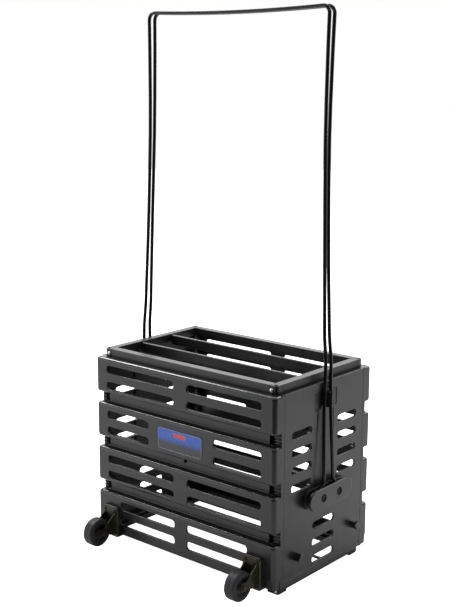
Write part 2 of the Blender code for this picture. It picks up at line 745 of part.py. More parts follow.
def build_clip(name, plastic, parent, turn):
    """Keeper for the upright wires: a back plate in the pocket, and a wedge that stands out between them."""
    low = (GAP - POCKET_HALF, POCKET_LEVELS[0] + GAP)
    high = (POCKET_HALF - GAP, POCKET_LEVELS[1] - GAP)
    plate_back = END - POCKET_DEPTH + GAP
    plate_face = END - POCKET_DEPTH + CHANNEL_DEPTH
    bm = bmesh.new()
    prism(bm, rounded_rectangle(low, high, POCKET_ROUND), "X", plate_back, plate_face)
    clip = make_object(name, bm, plastic, parent, turn=turn)
    half_section = [(plate_face - EDGE, KEEPER_ROOT), (KEEPER_PLANE - KEEPER_EDGE, KEEPER_TIP),
                    (KEEPER_PLANE, KEEPER_TIP - KEEPER_EDGE)]
    bm = bmesh.new()
    section = half_section + [(x, -y) for x, y in reversed(half_section)]
    prism(bm, section, "Z", *KEEPER_LEVELS)
    combine(clip, make_object(name + "_keeper", bm, plastic, parent, turn=turn), "UNION")
    return clip


def build_label(film, parent):
    bm = bmesh.new()
    low = (-LABEL_SIZE[0] / 2, LABEL_LEVEL - LABEL_SIZE[1] / 2)
    high = (LABEL_SIZE[0] / 2, LABEL_LEVEL + LABEL_SIZE[1] / 2)
    prism(bm, rounded_rectangle(low, high, LABEL_ROUND, 3), "Y", FRONT - GAP - LABEL_THICK, FRONT - GAP)
    return make_object("label_plate", bm, film, parent)


def bracket_screw_places():
    spread = BRACKET_SCREW_SPREAD
    return [side * WHEEL_X + offset for side in (-1, 1) for offset in (-spread, spread)]


def ear_outline():
    """Side view of a bracket ear: from the plate's full height down to a round end about the axle."""
    back = FRONT - PAD_THICK - GAP - SHEET / 2
    points = [(back, EAR_TOP)]
    points += arc((WHEEL_Y, WHEEL_Z), EAR_ROUND, 52, 262, 10)
    points += [(WHEEL_Y + EAR_NOTCH[0], WHEEL_Z + EAR_NOTCH[1]), (back, PLATE_LEVELS[0] + PAD_EDGE)]
    return points


def build_wheel(side_name, side, steel, plastic, rubber, parent):
    """Bracket, two screws, axle bolt and nut, and the hub and tyre that turn about the axle."""
    middle = side * WHEEL_X
    plate_back = FRONT - PAD_THICK - GAP
    plate_face = plate_back - SHEET
    low = (middle - PLATE_HALF, PLATE_LEVELS[0])
    high = (middle + PLATE_HALF, PLATE_LEVELS[1])
    bm = bmesh.new()
    prism(bm, rounded_rectangle(low, high, PAD_ROUND), "Y", plate_face, plate_back)
    bracket = make_object(f"wheel_bracket_{side_name}", bm, steel, parent)
    ears = bmesh.new()
    for near in (-EAR_OUTSIDE, EAR_OUTSIDE - SHEET):
        prism(ears, ear_outline(), "X", middle + near, middle + near + SHEET)
    holes = bmesh.new()
    axle_hole = arc((WHEEL_Y, WHEEL_Z), AXLE_RADIUS + GAP, 0, 330, 11)
    prism(holes, axle_hole, "X", middle - WHEEL_WIDTH, middle + WHEEL_WIDTH)
    for name, offset in (("inner", -side * BRACKET_SCREW_SPREAD), ("outer", side * BRACKET_SCREW_SPREAD)):
        hole = arc((middle + offset, BRACKET_SCREW_LEVEL), PILOT_RADIUS, 0, 330, 11)
        prism(holes, hole, "Y", plate_face - SHEET, plate_back + SHEET)
        bm = bmesh.new()
        screw(bm, (middle + offset, plate_face - GAP, BRACKET_SCREW_LEVEL), "Y", 1, BRACKET_SCREW)
        make_object(f"bracket_screw_{side_name}_{name}", bm, steel, parent)
    for suffix, helper, operation in (("ears", ears, "UNION"), ("holes", holes, "DIFFERENCE")):
        combine(bracket, make_object(f"wheel_bracket_{side_name}_{suffix}", helper, steel, parent), operation)

    axle = (middle, WHEEL_Y, WHEEL_Z)
    seat = EAR_OUTSIDE + GAP
    cap = seat + NUT_HEIGHT
    bolt = ((0.0, cap), (BOLT_HEAD - EDGE, cap), (BOLT_HEAD, cap - EDGE), (BOLT_HEAD, seat),
            (AXLE_RADIUS, seat), (AXLE_RADIUS, -seat - BOLT_TAIL), (0.0, -seat - BOLT_TAIL))
    bm = bmesh.new()
    turned(bm, [(radius, side * distance) for radius, distance in bolt], 12)
    make_object(f"axle_bolt_{side_name}", bm, steel, parent, location=axle)
    bore = AXLE_RADIUS + 2 * GAP
    nut = ((bore, -seat), (NUT_RADIUS, -seat), (NUT_RADIUS, -seat - NUT_HEIGHT), (bore, -seat - NUT_HEIGHT))
    bm = bmesh.new()
    turned(bm, [(radius, side * distance) for radius, distance in nut], 6)
    make_object(f"axle_nut_{side_name}", bm, steel, parent, location=axle)

    edge = -WHEEL_WIDTH / 2
    hub_face = edge + EDGE
    dish = hub_face + HUB_DISH
    hub = [(AXLE_RADIUS + GAP, edge + GAP), (HUB_BOSS, edge + GAP), (HUB_BOSS, dish),
           (HUB_RADIUS - HUB_RIM, dish), (HUB_RADIUS - HUB_RIM, hub_face), (HUB_RADIUS, hub_face)]
    tyre = [(HUB_RADIUS + GAP, edge + 2 * GAP), (WHEEL_RADIUS - TYRE_SHOULDER, edge),
            (WHEEL_RADIUS - 3 * GAP, edge + EDGE), (WHEEL_RADIUS, edge + 3 * EDGE)]
    for name, half_profile, material, segments in (
        (f"wheel_hub_{side_name}", hub, plastic, 20),
        (f"tyre_{side_name}", tyre, rubber, 32),
    ):
        profile = half_profile + [(radius, -distance) for radius, distance in reversed(half_profile)]
        bm = bmesh.new()
        turned(bm, profile, segments)
        make_object(name, bm, material, parent, location=axle)


def build_caddy():
    clear_scene()
    plastic = make_material("black_plastic", (0.045, 0.045, 0.048), 0.42, 0.0)
    corner = make_material("corner_plastic", (0.02, 0.02, 0.022), 0.35, 0.0)
    steel = make_material("black_rail", (0.012, 0.012, 0.012), 0.2, 0.3)
    gloss = make_material("gloss_wire", (0.01, 0.01, 0.01), 0.18, 0.2)
    bracket = make_material("dark_bracket", (0.03, 0.028, 0.018), 0.35, 0.8)
    rubber = make_material("grey_tyre", (0.055, 0.056, 0.062), 0.55, 0.0)
    chrome = make_material("bright_screw", (0.75, 0.75, 0.76), 0.15, 1.0)
    blacked = make_material("dark_screw", (0.02, 0.02, 0.02), 0.35, 0.6)
    film = make_material("label_film", (0.02, 0.09, 0.38), 0.3, 0.0)

    caddy = bpy.data.objects.new("caddy", None)
    bpy.context.scene.collection.objects.link(caddy)
    caddy.location = (0.0, MIDDLE_SHIFT, -FOOT_LEVEL)

    build_long_panel("front_panel", plastic, caddy, 0.0, True)
    build_long_panel("rear_panel", plastic, caddy, math.pi, False)
    build_end_panel("right_end_panel", plastic, caddy, 0.0)
    build_end_panel("left_end_panel", plastic, caddy, math.pi)
    build_bar_frames(steel, corner, chrome, caddy)
    build_bail("front_bail", gloss, caddy, -1)
    build_bail("rear_bail", gloss, caddy, 1)
    for side_name, turn in (("right", 0.0), ("left", math.pi)):
        build_pivot(side_name, plastic, blacked, caddy, turn)
        build_clip(f"handle_clip_{side_name}", corner, caddy, turn)
    build_label(film, caddy)
    for side_name, side in (("left", -1), ("right", 1)):
        build_wheel(side_name, side, bracket, corner, rubber, caddy)


build_caddy()
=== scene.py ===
"""Looks of the wheeled ball caddy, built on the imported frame.

Each CAD node is replaced by a fine piece in the same place. Shapes are drawn in the box's own frame (x
along the long side, y to the back, z up from the plastic's underside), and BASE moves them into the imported
frame. Round outlines, fillets and mouths are formulas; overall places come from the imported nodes.
"""

import json
import math

import bmesh
import bpy
from mathutils import Matrix, Vector


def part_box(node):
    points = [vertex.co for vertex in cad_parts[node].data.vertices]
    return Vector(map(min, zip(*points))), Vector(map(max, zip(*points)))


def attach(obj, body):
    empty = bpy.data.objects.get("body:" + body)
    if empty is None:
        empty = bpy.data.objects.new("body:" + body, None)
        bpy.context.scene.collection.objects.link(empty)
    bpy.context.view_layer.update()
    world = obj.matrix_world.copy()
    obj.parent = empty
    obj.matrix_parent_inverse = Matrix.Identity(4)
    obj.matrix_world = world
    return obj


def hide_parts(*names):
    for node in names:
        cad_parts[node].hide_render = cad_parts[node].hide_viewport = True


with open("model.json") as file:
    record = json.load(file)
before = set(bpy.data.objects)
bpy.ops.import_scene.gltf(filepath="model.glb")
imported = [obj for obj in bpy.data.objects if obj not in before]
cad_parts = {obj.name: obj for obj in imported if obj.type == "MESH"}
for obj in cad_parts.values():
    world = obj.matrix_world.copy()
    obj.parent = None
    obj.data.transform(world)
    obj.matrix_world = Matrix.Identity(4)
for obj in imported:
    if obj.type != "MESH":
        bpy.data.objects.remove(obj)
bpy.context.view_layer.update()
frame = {"record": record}

BODY_OF = {}
for body_name, members in frame["record"]["behaviour"]["bodies"].items():
    for member in members:
        BODY_OF[member] = body_name

END_LOW, END_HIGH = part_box("right_end_panel")
BASE = Vector((0.0, (END_LOW.y + END_HIGH.y) / 2, END_LOW.z))


def local_box(node):
    """Lowest and highest corner of a CAD node, in the box's own frame."""
    low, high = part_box(node)
    return low - BASE, high - BASE


# Plastic box
END = local_box("rear_panel")[1].x
FRONT = -local_box("rear_panel")[1].y
BOX_HEIGHT = local_box("rear_panel")[1].z
WALL = 0.0032
CUT_MARGIN = 0.004
OVERLAP = 0.0015

# Long walls
COURSE_COUNT = 4
COURSE_HEIGHT = 0.0625
COURSE_PITCH = 0.0815
COURSE_BULGE = 0.013
COURSE_CORNER = 0.007
COURSE_RIM = 0.0052
SKIRT_TOP = 0.0175
SKIRT_STEPS = ((0.0054, 0.0), (0.0042, 0.0012), (0.0009, 0.0165), (0.0003, 0.0175))
SKIRT_ENDS = 0.3
COVE = 0.0024
POST_FRONT = 0.01725
POST_DEPTH = 0.0067
POST_WIDTH = 0.013
SLOT_ROWS = (0.019, 0.048)
SLOT_HEIGHT = 0.014
SLOT_CORNER = 0.0055
SLOT_SPANS = ((0.015, 0.1725), (0.073, 0.1725), (0.015, 0.1725), (0.014, 0.1445))
SLOT_LIP = 0.0011
PAD_SPAN = (0.144, 0.179)
PAD_HEIGHTS = (-0.0015, 0.054)
PAD_ROUND = 0.003
RIB_SPAN = (0.1875, 0.1978)
RIB_HEIGHT = 0.0026
RIB_OFFSETS = (-0.0056, 0.0, 0.0056)
RIB_TILT = 0.0012
GROOVE_PLANE = FRONT + COURSE_BULGE
NICHE_SPAN = (0.1798, 0.1878)
NICHE_DEPTH = 0.0085
NICHE_ROUND = 0.0012
NUB_LEVEL = 0.62

# End walls
END_RETURN = 0.0122
END_SLOT_SPAN = (0.036, 0.088)
END_SLOT_LEVELS = (0.1596, 0.1889, 0.2182, 0.2475)
LOW_SLOT_LEVELS = (0.0218, 0.0511, 0.0804)
LOW_SLOT_HALF = 0.0297
END_SLOT_HEIGHT = 0.0128
CHANNEL_DEPTH = 0.003
CHANNEL_TOP_HALF = 0.0215
CHANNEL_FOOT_HALF = 0.0275
CHANNEL_FLARE = 0.010
CHANNEL_LEVELS = (0.1455, 0.276)
POCKET_HALF = 0.0305
POCKET_DEPTH = 0.006
POCKET_LEVELS = (0.2755, 0.3045)
POCKET_ROUND = 0.003
LEDGE_ROUND = 0.0016
SKIRT_LINE = 0.0095
SKIRT_LINE_DEPTH = 0.0009
END_HALF = -FRONT - POST_FRONT - POST_DEPTH
HOOK_LEVEL = 0.234
HOOK_REACH = (0.0075, 0.0055)
HOOK_WIDTH = 0.0065
HOOK_ROUND = 0.0014
HOOK_NOSE = 0.0036
HOOK_RIM = 0.0007
HOOK_PLANES = (0.2094, 0.2125)

# Bar frames
CORNER_ROUND = 0.005
RAIL_WIDTH = 0.0147
RAIL_WALL = 0.002
RAIL_EDGE = 0.0009
TOP_LIP = 0.004
LIP_THICK = 0.0022
LIP_PLANES = (0.1077, 0.1875)
BAR_ROUND = 0.0018
NOTCH = (0.0026, 0.0082)
NOTCH_DEPTH = 0.005
NOTCH_ROUND = 0.002
REED_SHARES = (0.3, 0.5, 0.7)
REED_RADIUS = 0.0019
REED_STAND = 0.0012
REED_HEIGHT = 0.0075

# Wire bails and pivots
WIRE_RADIUS = 0.0031
WIRE_CLEARANCE = 0.0004
PIVOT_OFFSET = 0.0217
PIVOT_LEVEL = 0.1305
PIVOT_PLANE = 0.2084
EYE_RADIUS = 0.012
EYE_TURN = math.radians(255)
BEND_RADIUS = 0.020
FRONT_SWING = math.radians(152)
REAR_SWING = math.radians(146)
LEG_SPREAD = ((0.161, 0.2084), (0.270, 0.2040), (0.350, 0.2036), (0.360, 0.2031), (0.376, 0.2013),
              (0.396, 0.1994), (0.440, 0.1977),
              (0.500, 0.1952), (0.560, 0.1931), (0.620, 0.1912), (0.700, 0.1892), (0.760, 0.1889),
              (0.850, 0.1897), (0.895, 0.1906))
LEG_GAP = ((0.161, 0.0124), (0.320, 0.0076), (0.380, 0.0068), (0.440, 0.0060), (0.500, 0.0053),
           (0.560, 0.0049), (0.650, 0.0050), (0.750, 0.0055), (0.850, 0.0064), (0.895, 0.0067))
LEGS_FROM = 0.165
BAIL_TOP = 0.907
BAIL_CORNER = 0.012
BAIL_SAG = 0.004
LEAN = 0.0087
LEAN_FROM = 0.370
LEAN_POWER = 1.25
PIVOT_BASE = 0.0046
BOSS_RADIUS = 0.0084
SCREW_SEAT_RADIUS = 0.0068
SCREW_SEAT_DEPTH = 0.0026
RIM_HALF = 0.0105
RIM_HEIGHT = 0.003
KEEPER_ROOT = 0.005
KEEPER_TIP = 0.0037
KEEPER_LEVELS = (0.2785, 0.3035)
KEEPER_EDGE = 0.001
PLATE_STEP = 0.0008

# Label and wheels
LABEL_ROUND = 0.0045
LABEL_FADE = (-0.35, 0.15)
RED_BLOCK = (0.27, 0.2)
RED_LEVEL = 0.55
OUTLINE_BAND = (0.0005, 0.0011)
HUB_RADIUS = 0.0162
AXLE_RADIUS = 0.003
EAR_OUTSIDE = 0.0128
SHEET = 0.002
EAR_TOP = 0.045
EAR_ROUND = 0.0078
EAR_NOTCH = (0.0145, -0.0072)
BRACKET_FOOT = 0.0035
TYRE_SHOULDER = 0.0034
GAP = 0.0003


# ---------------------------------------------------------------- surfaces

class Surface:
    """A Principled material with short ways to add the nodes that vary it."""

    def __init__(self, name, metallic=0.0, ior=1.5, coat=0.0, coat_roughness=0.1, specular=0.36):
        self.material = bpy.data.materials.new(name)
        self.material.use_nodes = True
        self.tree = self.material.node_tree
        self.shader = self.tree.nodes["Principled BSDF"]
        for socket, value in (("Metallic", metallic), ("IOR", ior), ("Coat Weight", coat),
                              ("Coat Roughness", coat_roughness), ("Specular IOR Level", specular)):
            self.shader.inputs[socket].default_value = value
        self.place = self.tree.nodes.new("ShaderNodeTexCoord").outputs["Object"]

    def put(self, socket, value):
        if isinstance(value, bpy.types.NodeSocket):
            self.tree.links.new(value, socket)
        else:
            socket.default_value = value

    def stretched(self, scale):
        node = self.tree.nodes.new("ShaderNodeMapping")
        self.put(node.inputs["Vector"], self.place)
        node.inputs["Scale"].default_value = scale
        return node.outputs["Vector"]

    def noise(self, scale, detail=3.0, vector=None):
        node = self.tree.nodes.new("ShaderNodeTexNoise")
        self.put(node.inputs["Vector"], self.place if vector is None else vector)
        node.inputs["Scale"].default_value = scale
        node.inputs["Detail"].default_value = detail
        return node.outputs["Fac"]

    def remap(self, value, start, end, low, high):
        node = self.tree.nodes.new("ShaderNodeMapRange")
        self.put(node.inputs["Value"], value)
        for socket, number in zip(("From Min", "From Max", "To Min", "To Max"), (start, end, low, high)):
            node.inputs[socket].default_value = number
        return node.outputs["Result"]

    def math(self, operation, first, second=0.0):
        node = self.tree.nodes.new("ShaderNodeMath")
        node.operation = operation
        self.put(node.inputs[0], first)
        self.put(node.inputs[1], second)
        return node.outputs["Value"]

    def mix(self, factor, first, second):
        node = self.tree.nodes.new("ShaderNodeMix")
        node.data_type = "RGBA"
        self.put(node.inputs["Factor"], factor)
        for socket, colour in (("A", first), ("B", second)):
            value = colour if isinstance(colour, bpy.types.NodeSocket) else (*colour, 1.0)
            self.put([s for s in node.inputs if s.name == socket and s.type == "RGBA"][0], value)
        return [s for s in node.outputs if s.type == "RGBA"][0]

    def axes(self):
        node = self.tree.nodes.new("ShaderNodeSeparateXYZ")
        self.put(node.inputs["Vector"], self.place)
        return node.outputs

    def colour(self, value):
        self.put(self.shader.inputs["Base Color"], value)

    def roughness(self, value):
        self.put(self.shader.inputs["Roughness"], value)

    def bump(self, height, strength, distance=0.0002):
        node = self.tree.nodes.new("ShaderNodeBump")
        node.inputs["Strength"].default_value = strength
        node.inputs["Distance"].default_value = distance
        self.put(node.inputs["Height"], height)
        self.put(self.shader.inputs["Normal"], node.outputs["Normal"])


def shade(colour, factor):
    return tuple(min(1.0, channel * factor) for channel in colour)


def moulded(name, colour, roughness, wear=0.0, grain=1500.0, bump=0.14, **shader):
    """Moulded plastic or rubber: cloudy colour, patchy gloss, fine grain, and rubbed flecks by wear."""
    surface = Surface(name, **shader)
    clouds = surface.remap(surface.noise(14.0, 4.0), 0.3, 0.7, 0.0, 1.0)
    tone = surface.mix(clouds, shade(colour, 0.82), shade(colour, 1.18))
    flecks = surface.remap(surface.noise(420.0, 5.0), 0.58, 0.74, 0.0, 0.25 + wear)
    surface.colour(surface.mix(flecks, tone, shade(colour, 1.6 + 2.2 * wear)))
    patches = surface.noise(55.0, 3.0)
    surface.roughness(surface.remap(patches, 0.3, 0.7, roughness - 0.04, roughness + 0.05))
    surface.bump(surface.noise(grain, 2.0), bump)
    return surface.material


def drawn(name, colour, roughness, along, wear=0.0, **shader):
    """Extruded or drawn metal with a dark finish: faint lines along its length and rubbed flecks."""
    surface = Surface(name, **shader)
    stretch = [1.0, 1.0, 1.0]
    stretch["XYZ".index(along)] = 0.03
    lines = surface.noise(900.0, 3.0, surface.stretched(stretch))
    clouds = surface.remap(surface.noise(22.0, 4.0), 0.3, 0.7, 0.0, 1.0)
    tone = surface.mix(clouds, shade(colour, 0.8), shade(colour, 1.25))
    rubbed = surface.remap(surface.noise(260.0, 4.0), 0.6, 0.72, 0.0, 0.3 + wear)
    surface.colour(surface.mix(rubbed, tone, shade(colour, 2.0 + 3.0 * wear)))
    surface.roughness(surface.remap(lines, 0.3, 0.7, roughness - 0.05, roughness + 0.07))
    surface.bump(lines, 0.1, 0.00012)
    return surface.material


PLASTIC = (0.0105, 0.0108, 0.0125)
SATIN_BLACK = (0.0075, 0.0078, 0.008)
RAIL_BLACK = (0.012, 0.012, 0.0118)
WIRE_BLACK = (0.006, 0.006, 0.006)
OLIVE_BLACK = (0.035, 0.031, 0.019)
TYRE_GREY = (0.012, 0.0130, 0.0155)
CHROME = (0.72, 0.72, 0.73)
LABEL_BLUE = (0.016, 0.085, 0.46)
LABEL_NIGHT = (0.016, 0.018, 0.026)
LABEL_RED = (0.55, 0.05, 0.05)
LABEL_LINE = (0.30, 0.33, 0.38)


def label_surface():
    """Printed film: blue that fades into a dark foot, a plain red block and a fine light outline."""
    low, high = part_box("label_plate")
    middle, half = (low + high) / 2, (high - low) / 2
    surface = Surface("label_film", ior=1.5, coat=0.3, coat_roughness=0.15)
    axes = surface.axes()
    across = surface.math("SUBTRACT", axes["X"], middle.x)
    up = surface.math("SUBTRACT", axes["Z"], middle.z)
    fade = surface.remap(up, LABEL_FADE[0] * half.z, LABEL_FADE[1] * half.z, 0.0, 1.0)
    speckle = surface.remap(surface.noise(900.0, 2.0), 0.3, 0.7, -0.06, 0.06)
    field = surface.mix(surface.math("ADD", fade, speckle), LABEL_NIGHT, LABEL_BLUE)
    red_x = surface.math("LESS_THAN", surface.math("ABSOLUTE", across), RED_BLOCK[0] * half.x)
    red_up = surface.math("ABSOLUTE", surface.math("SUBTRACT", up, RED_LEVEL * half.z))
    red_z = surface.math("LESS_THAN", red_up, RED_BLOCK[1] * half.z)
    field = surface.mix(surface.math("MULTIPLY", red_x, red_z), field, LABEL_RED)
    side = surface.math("SUBTRACT", surface.math("ABSOLUTE", across), half.x)
    cap = surface.math("SUBTRACT", surface.math("ABSOLUTE", up), half.z)
    depth = surface.math("MAXIMUM", side, cap)
    inside = surface.math("GREATER_THAN", depth, -OUTLINE_BAND[1])
    outside = surface.math("LESS_THAN", depth, -OUTLINE_BAND[0])
    surface.colour(surface.mix(surface.math("MULTIPLY", inside, outside), field, LABEL_LINE))
    surface.roughness(surface.remap(surface.noise(60.0), 0.3, 0.7, 0.22, 0.34))
    surface.bump(surface.noise(1200.0, 2.0), 0.06)
    return surface.material


def chrome_surface(name, roughness):
    surface = Surface(name, metallic=1.0)
    surface.colour(surface.mix(surface.noise(700.0), shade(CHROME, 0.8), shade(CHROME, 1.1)))
    surface.roughness(surface.remap(surface.noise(300.0), 0.3, 0.7, roughness - 0.05, roughness + 0.08))
    surface.bump(surface.noise(1800.0), 0.05)
    return surface.material


FINISHES = {
    # black_plastic: the lighter, glossier second finish goes on rims, lips, mouths and the skirt line; its
    # lighter colour is edge wear and a painted highlight along those edges.
    "black_plastic": (moulded("box_plastic", PLASTIC, 0.33, specular=0.45),
                      moulded("box_plastic_worn_edge_painted_highlight", shade(PLASTIC, 1.2), 0.15, wear=0.3, specular=0.5)),
    # corner_plastic: the lighter second finish on rims, the notch lip and bevels is edge wear and a painted
    # highlight.
    "corner_plastic": (moulded("fitting_plastic", SATIN_BLACK, 0.34),
                       moulded("fitting_plastic_worn_edge_painted_highlight", shade(SATIN_BLACK, 1.6), 0.27, wear=0.5)),
    "hub_plastic": (moulded("hub_plastic", SATIN_BLACK, 0.36),
                    moulded("hub_plastic_edge", shade(SATIN_BLACK, 1.6), 0.3, wear=0.4)),
    "black_rail": (drawn("rail_finish", RAIL_BLACK, 0.34, "X", specular=0.5),
                   drawn("rail_finish_edge", shade(RAIL_BLACK, 2.2), 0.2, "X", wear=0.6)),
    "black_rail_cross": (drawn("rail_finish_cross", RAIL_BLACK, 0.34, "Y"),
                         drawn("rail_finish_cross_edge", shade(RAIL_BLACK, 2.2), 0.2, "Y", wear=0.6)),
    "gloss_wire": (drawn("wire_gloss", WIRE_BLACK, 0.16, "Z", specular=0.28),),
    "dark_bracket": (drawn("bracket_steel", OLIVE_BLACK, 0.3, "Z", metallic=0.7),
                     drawn("bracket_steel_edge", shade(OLIVE_BLACK, 1.8), 0.26, "Z", wear=0.6, metallic=0.8)),
    "grey_tyre": (moulded("tyre_rubber", TYRE_GREY, 0.52, grain=900.0, bump=0.25),
                  moulded("tyre_rubber_edge", shade(TYRE_GREY, 1.4), 0.48, wear=0.6, grain=900.0)),
    # dark_screw: the second finish, on the cross recess, is darker than the head: painted shade in the
    # recess.
    "dark_screw": (moulded("screw_black", (0.006, 0.006, 0.006), 0.42, metallic=0.5),
                   moulded("screw_black_painted_recess_shade", (0.003, 0.003, 0.003), 0.6, metallic=0.5)),
    "bright_screw": (chrome_surface("screw_chrome", 0.16), chrome_surface("screw_recess", 0.3)),
    "label_film": (label_surface(), moulded("label_edge", LABEL_NIGHT, 0.35)),
}


# ---------------------------------------------------------------- shaping

PLACES = {
    "X": lambda u, v, w: (w, u, v),
    "Y": lambda u, v, w: (u, w, v),
    "Z": lambda u, v, w: (u, v, w),
}


def arc(centre, radius, start, end, steps):
    points = []
    for i in range(steps + 1):
        angle = math.radians(start + (end - start) * i / steps)
        points.append((centre[0] + radius * math.cos(angle), centre[1] + radius * math.sin(angle)))
    return points


def rounded(low, high, radius, inset=0.0, steps=6):
    """A rounded rectangle, drawn in by inset, always with the same number of points."""
    low = (low[0] + inset, low[1] + inset)
    high = (high[0] - inset, high[1] - inset)
    radius = min(max(radius - inset, 0.0003), 0.499 * (high[0] - low[0]), 0.499 * (high[1] - low[1]))
    points = arc((high[0] - radius, high[1] - radius), radius, 0, 90, steps)
    points += arc((low[0] + radius, high[1] - radius), radius, 90, 180, steps)
    points += arc((low[0] + radius, low[1] + radius), radius, 180, 270, steps)
    points += arc((high[0] - radius, low[1] + radius), radius, 270, 360, steps)
    return points


def rounded_at(low, high, radius, steps=6):
    """The outline of a rounded rectangle as a function of its inset."""
    return lambda inset: rounded(low, high, radius, inset, steps)


def mirrored(half):
    """Half an outline, followed by its mirror image in the first axis."""
    return half + [(-first, second) for first, second in reversed(half)]


def loft(bm, sections, along, edge=()):
    """Skins closed outlines, each with its level, into one capped body. edge lists the bands that take the
    second finish: worn edges, and on the box and its fittings also a painted highlight.
    """
    place = PLACES[along]
    rings = [[bm.verts.new(place(u, v, level)) for u, v in outline] for outline, level in sections]
    faces = [bm.faces.new(rings[0]), bm.faces.new(rings[-1])]
    for band, (lower, upper) in enumerate(zip(rings, rings[1:])):
        for i in range(len(lower)):
            j = (i + 1) % len(lower)
            face = bm.faces.new((lower[i], lower[j], upper[j], upper[i]))
            face.material_index = 1 if band in edge else 0
            faces.append(face)
    bmesh.ops.recalc_face_normals(bm, faces=faces)
    return faces


def lofted(sections, along, edge=()):
    """The same as a body of its own."""
    bm = bmesh.new()
    loft(bm, sections, along, edge)
    return bm


def prism(bm, outline, along, low, high):
    return loft(bm, [(outline, low), (outline, high)], along)


def box(bm, low, high):
    outline = ((low[0], low[1]), (high[0], low[1]), (high[0], high[1]), (low[0], high[1]))
    return prism(bm, outline, "Z", low[2], high[2])


def pillow(outline_at, low, high, low_round, high_round, steps=4):
    """Sections of a prism with rounded ends; outline_at(inset) is its outline drawn in by inset."""
    sections = []
    if low_round:
        for i in range(steps + 1):
            angle = math.pi / 2 * i / steps
            inset = low_round * (1 - math.sin(angle))
            sections.append((outline_at(inset), low + low_round * (1 - math.cos(angle))))
    else:
        sections.append((outline_at(0.0), low))
    if high_round:
        for i in range(steps, -1, -1):
            angle = math.pi / 2 * i / steps
            inset = high_round * (1 - math.sin(angle))
            sections.append((outline_at(inset), high - high_round * (1 - math.cos(angle))))
    else:
        sections.append((outline_at(0.0), high))
    return sections


def mouth(outline_at, face, outward, depth, lip, steps=4):
    """Sections of a cutter that leaves a rounded lip where it enters a face."""
    sections = [(outline_at(0.0), face - outward * depth)]
    for i in range(steps + 1):
        angle = math.radians(82) * i / steps
        outline = outline_at(-lip * (1 - math.cos(angle)))
        sections.append((outline, face - outward * lip * (1 - math.sin(angle))))
    sections.append((sections[-1][0], face + outward * CUT_MARGIN))
    return sections


LIP_BANDS = (1, 2, 3, 4)


def turned(bm, profile, segments, along="X", centre=(0.0, 0.0, 0.0), worn=()):
    """Turns (radius, distance) points about an axis. A profile that starts off the axis makes a ring."""
    rings = []
    for radius, distance in profile:
        ring = []
        for i in range(1 if radius == 0 else segments):
            angle = 2 * math.pi * i / segments
            across, up = radius * math.cos(angle), radius * math.sin(angle)
            local = (distance, across, up) if along == "X" else (across, distance, up)
            ring.append(bm.verts.new(Vector(local) + Vector(centre)))
        rings.append(ring)
    pairs = list(zip(rings, rings[1:]))
    if profile[0][0] > 0:
        pairs.append((rings[-1], rings[0]))
    faces = []
    for band, (first, second) in enumerate(pairs):
        for i in range(segments):
            j = (i + 1) % segments
            corners = [first[i % len(first)], first[j % len(first)]]
            corners += [second[j % len(second)], second[i % len(second)]]
            face = bm.faces.new(list(dict.fromkeys(corners)))
            face.material_index = 1 if band in worn else 0
            faces.append(face)
    bmesh.ops.recalc_face_normals(bm, faces=faces)


def dome(radius, top, drop, angles):
    """Profile of a rounded head, from its middle down to its rim."""
    turns = [math.radians(angle) for angle in angles]
    return [(radius * math.sin(turn), top - drop * (1 - math.cos(turn))) for turn in turns]


def oblong(centre, half):
    signs = ((-1, -1), (1, -1), (1, 1), (-1, 1))
    return [(centre[0] + a * half[0], centre[1] + b * half[1]) for a, b in signs]


def sides(near, far):
    """A span on the left and its mirror on the right, each with its lower end first."""
    return (-far, -near), (near, far)


def helper(bm, slot):
    mesh = bpy.data.meshes.new("helper")
    bm.to_mesh(mesh)
    bm.free()
    for material in FINISHES[slot]:
        mesh.materials.append(material)
    obj = bpy.data.objects.new("helper", mesh)
    bpy.context.scene.collection.objects.link(obj)
    return obj


def combine(slot, body, *operations):
    """Applies Booleans to a body and hands back the finished bmesh. The helpers are removed."""
    target = helper(body, slot)
    used = [target]
    for operation, operand in operations:
        used.append(helper(operand, slot))
        modifier = target.modifiers.new("shape", "BOOLEAN")
        modifier.operation = operation
        modifier.object = used[-1]
        modifier.solver = "EXACT"
    bpy.context.view_layer.update()
    evaluated = target.evaluated_get(bpy.context.evaluated_depsgraph_get())
    result = bmesh.new()
    result.from_mesh(evaluated.to_mesh())
    evaluated.to_mesh_clear()
    for obj in used:
        mesh = obj.data
        bpy.data.objects.remove(obj)
        bpy.data.meshes.remove(mesh)
    return result


def show(node, bm, slot, turn=0.0, bevel=0.0, limit=35.0, segments=2, finish=None):
    """Puts a finished piece in place of its CAD node, on the same body."""
    mesh = bpy.data.meshes.new(node + "_fine")
    bm.to_mesh(mesh)
    bm.free()
    mesh.transform(Matrix.Translation(BASE) @ Matrix.Rotation(turn, 4, "Z"))
    for material in FINISHES[finish or slot]:
        mesh.materials.append(material)
    mesh.shade_smooth()
    mesh.set_sharp_from_angle(angle=math.radians(limit))
    obj = bpy.data.objects.new(node + "_fine", mesh)
    bpy.context.scene.collection.objects.link(obj)
    if bevel:
        modifier = obj.modifiers.new("edges", "BEVEL")
        modifier.width = bevel
        modifier.segments = segments
        modifier.limit_method = "ANGLE"
        modifier.angle_limit = math.radians(limit)
        modifier.material = min(1, len(mesh.materials) - 1)
        modifier.miter_outer = "MITER_ARC"
    weights = obj.modifiers.new("normals", "WEIGHTED_NORMAL")
    weights.keep_sharp = not bevel
    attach(obj, BODY_OF[node])
    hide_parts(node)
    return obj


# ---------------------------------------------------------------- long walls

def course_levels(index):
    top = BOX_HEIGHT - index * COURSE_PITCH
    bottom = top - COURSE_HEIGHT if index < COURSE_COUNT - 1 else 0.0
    return bottom, top


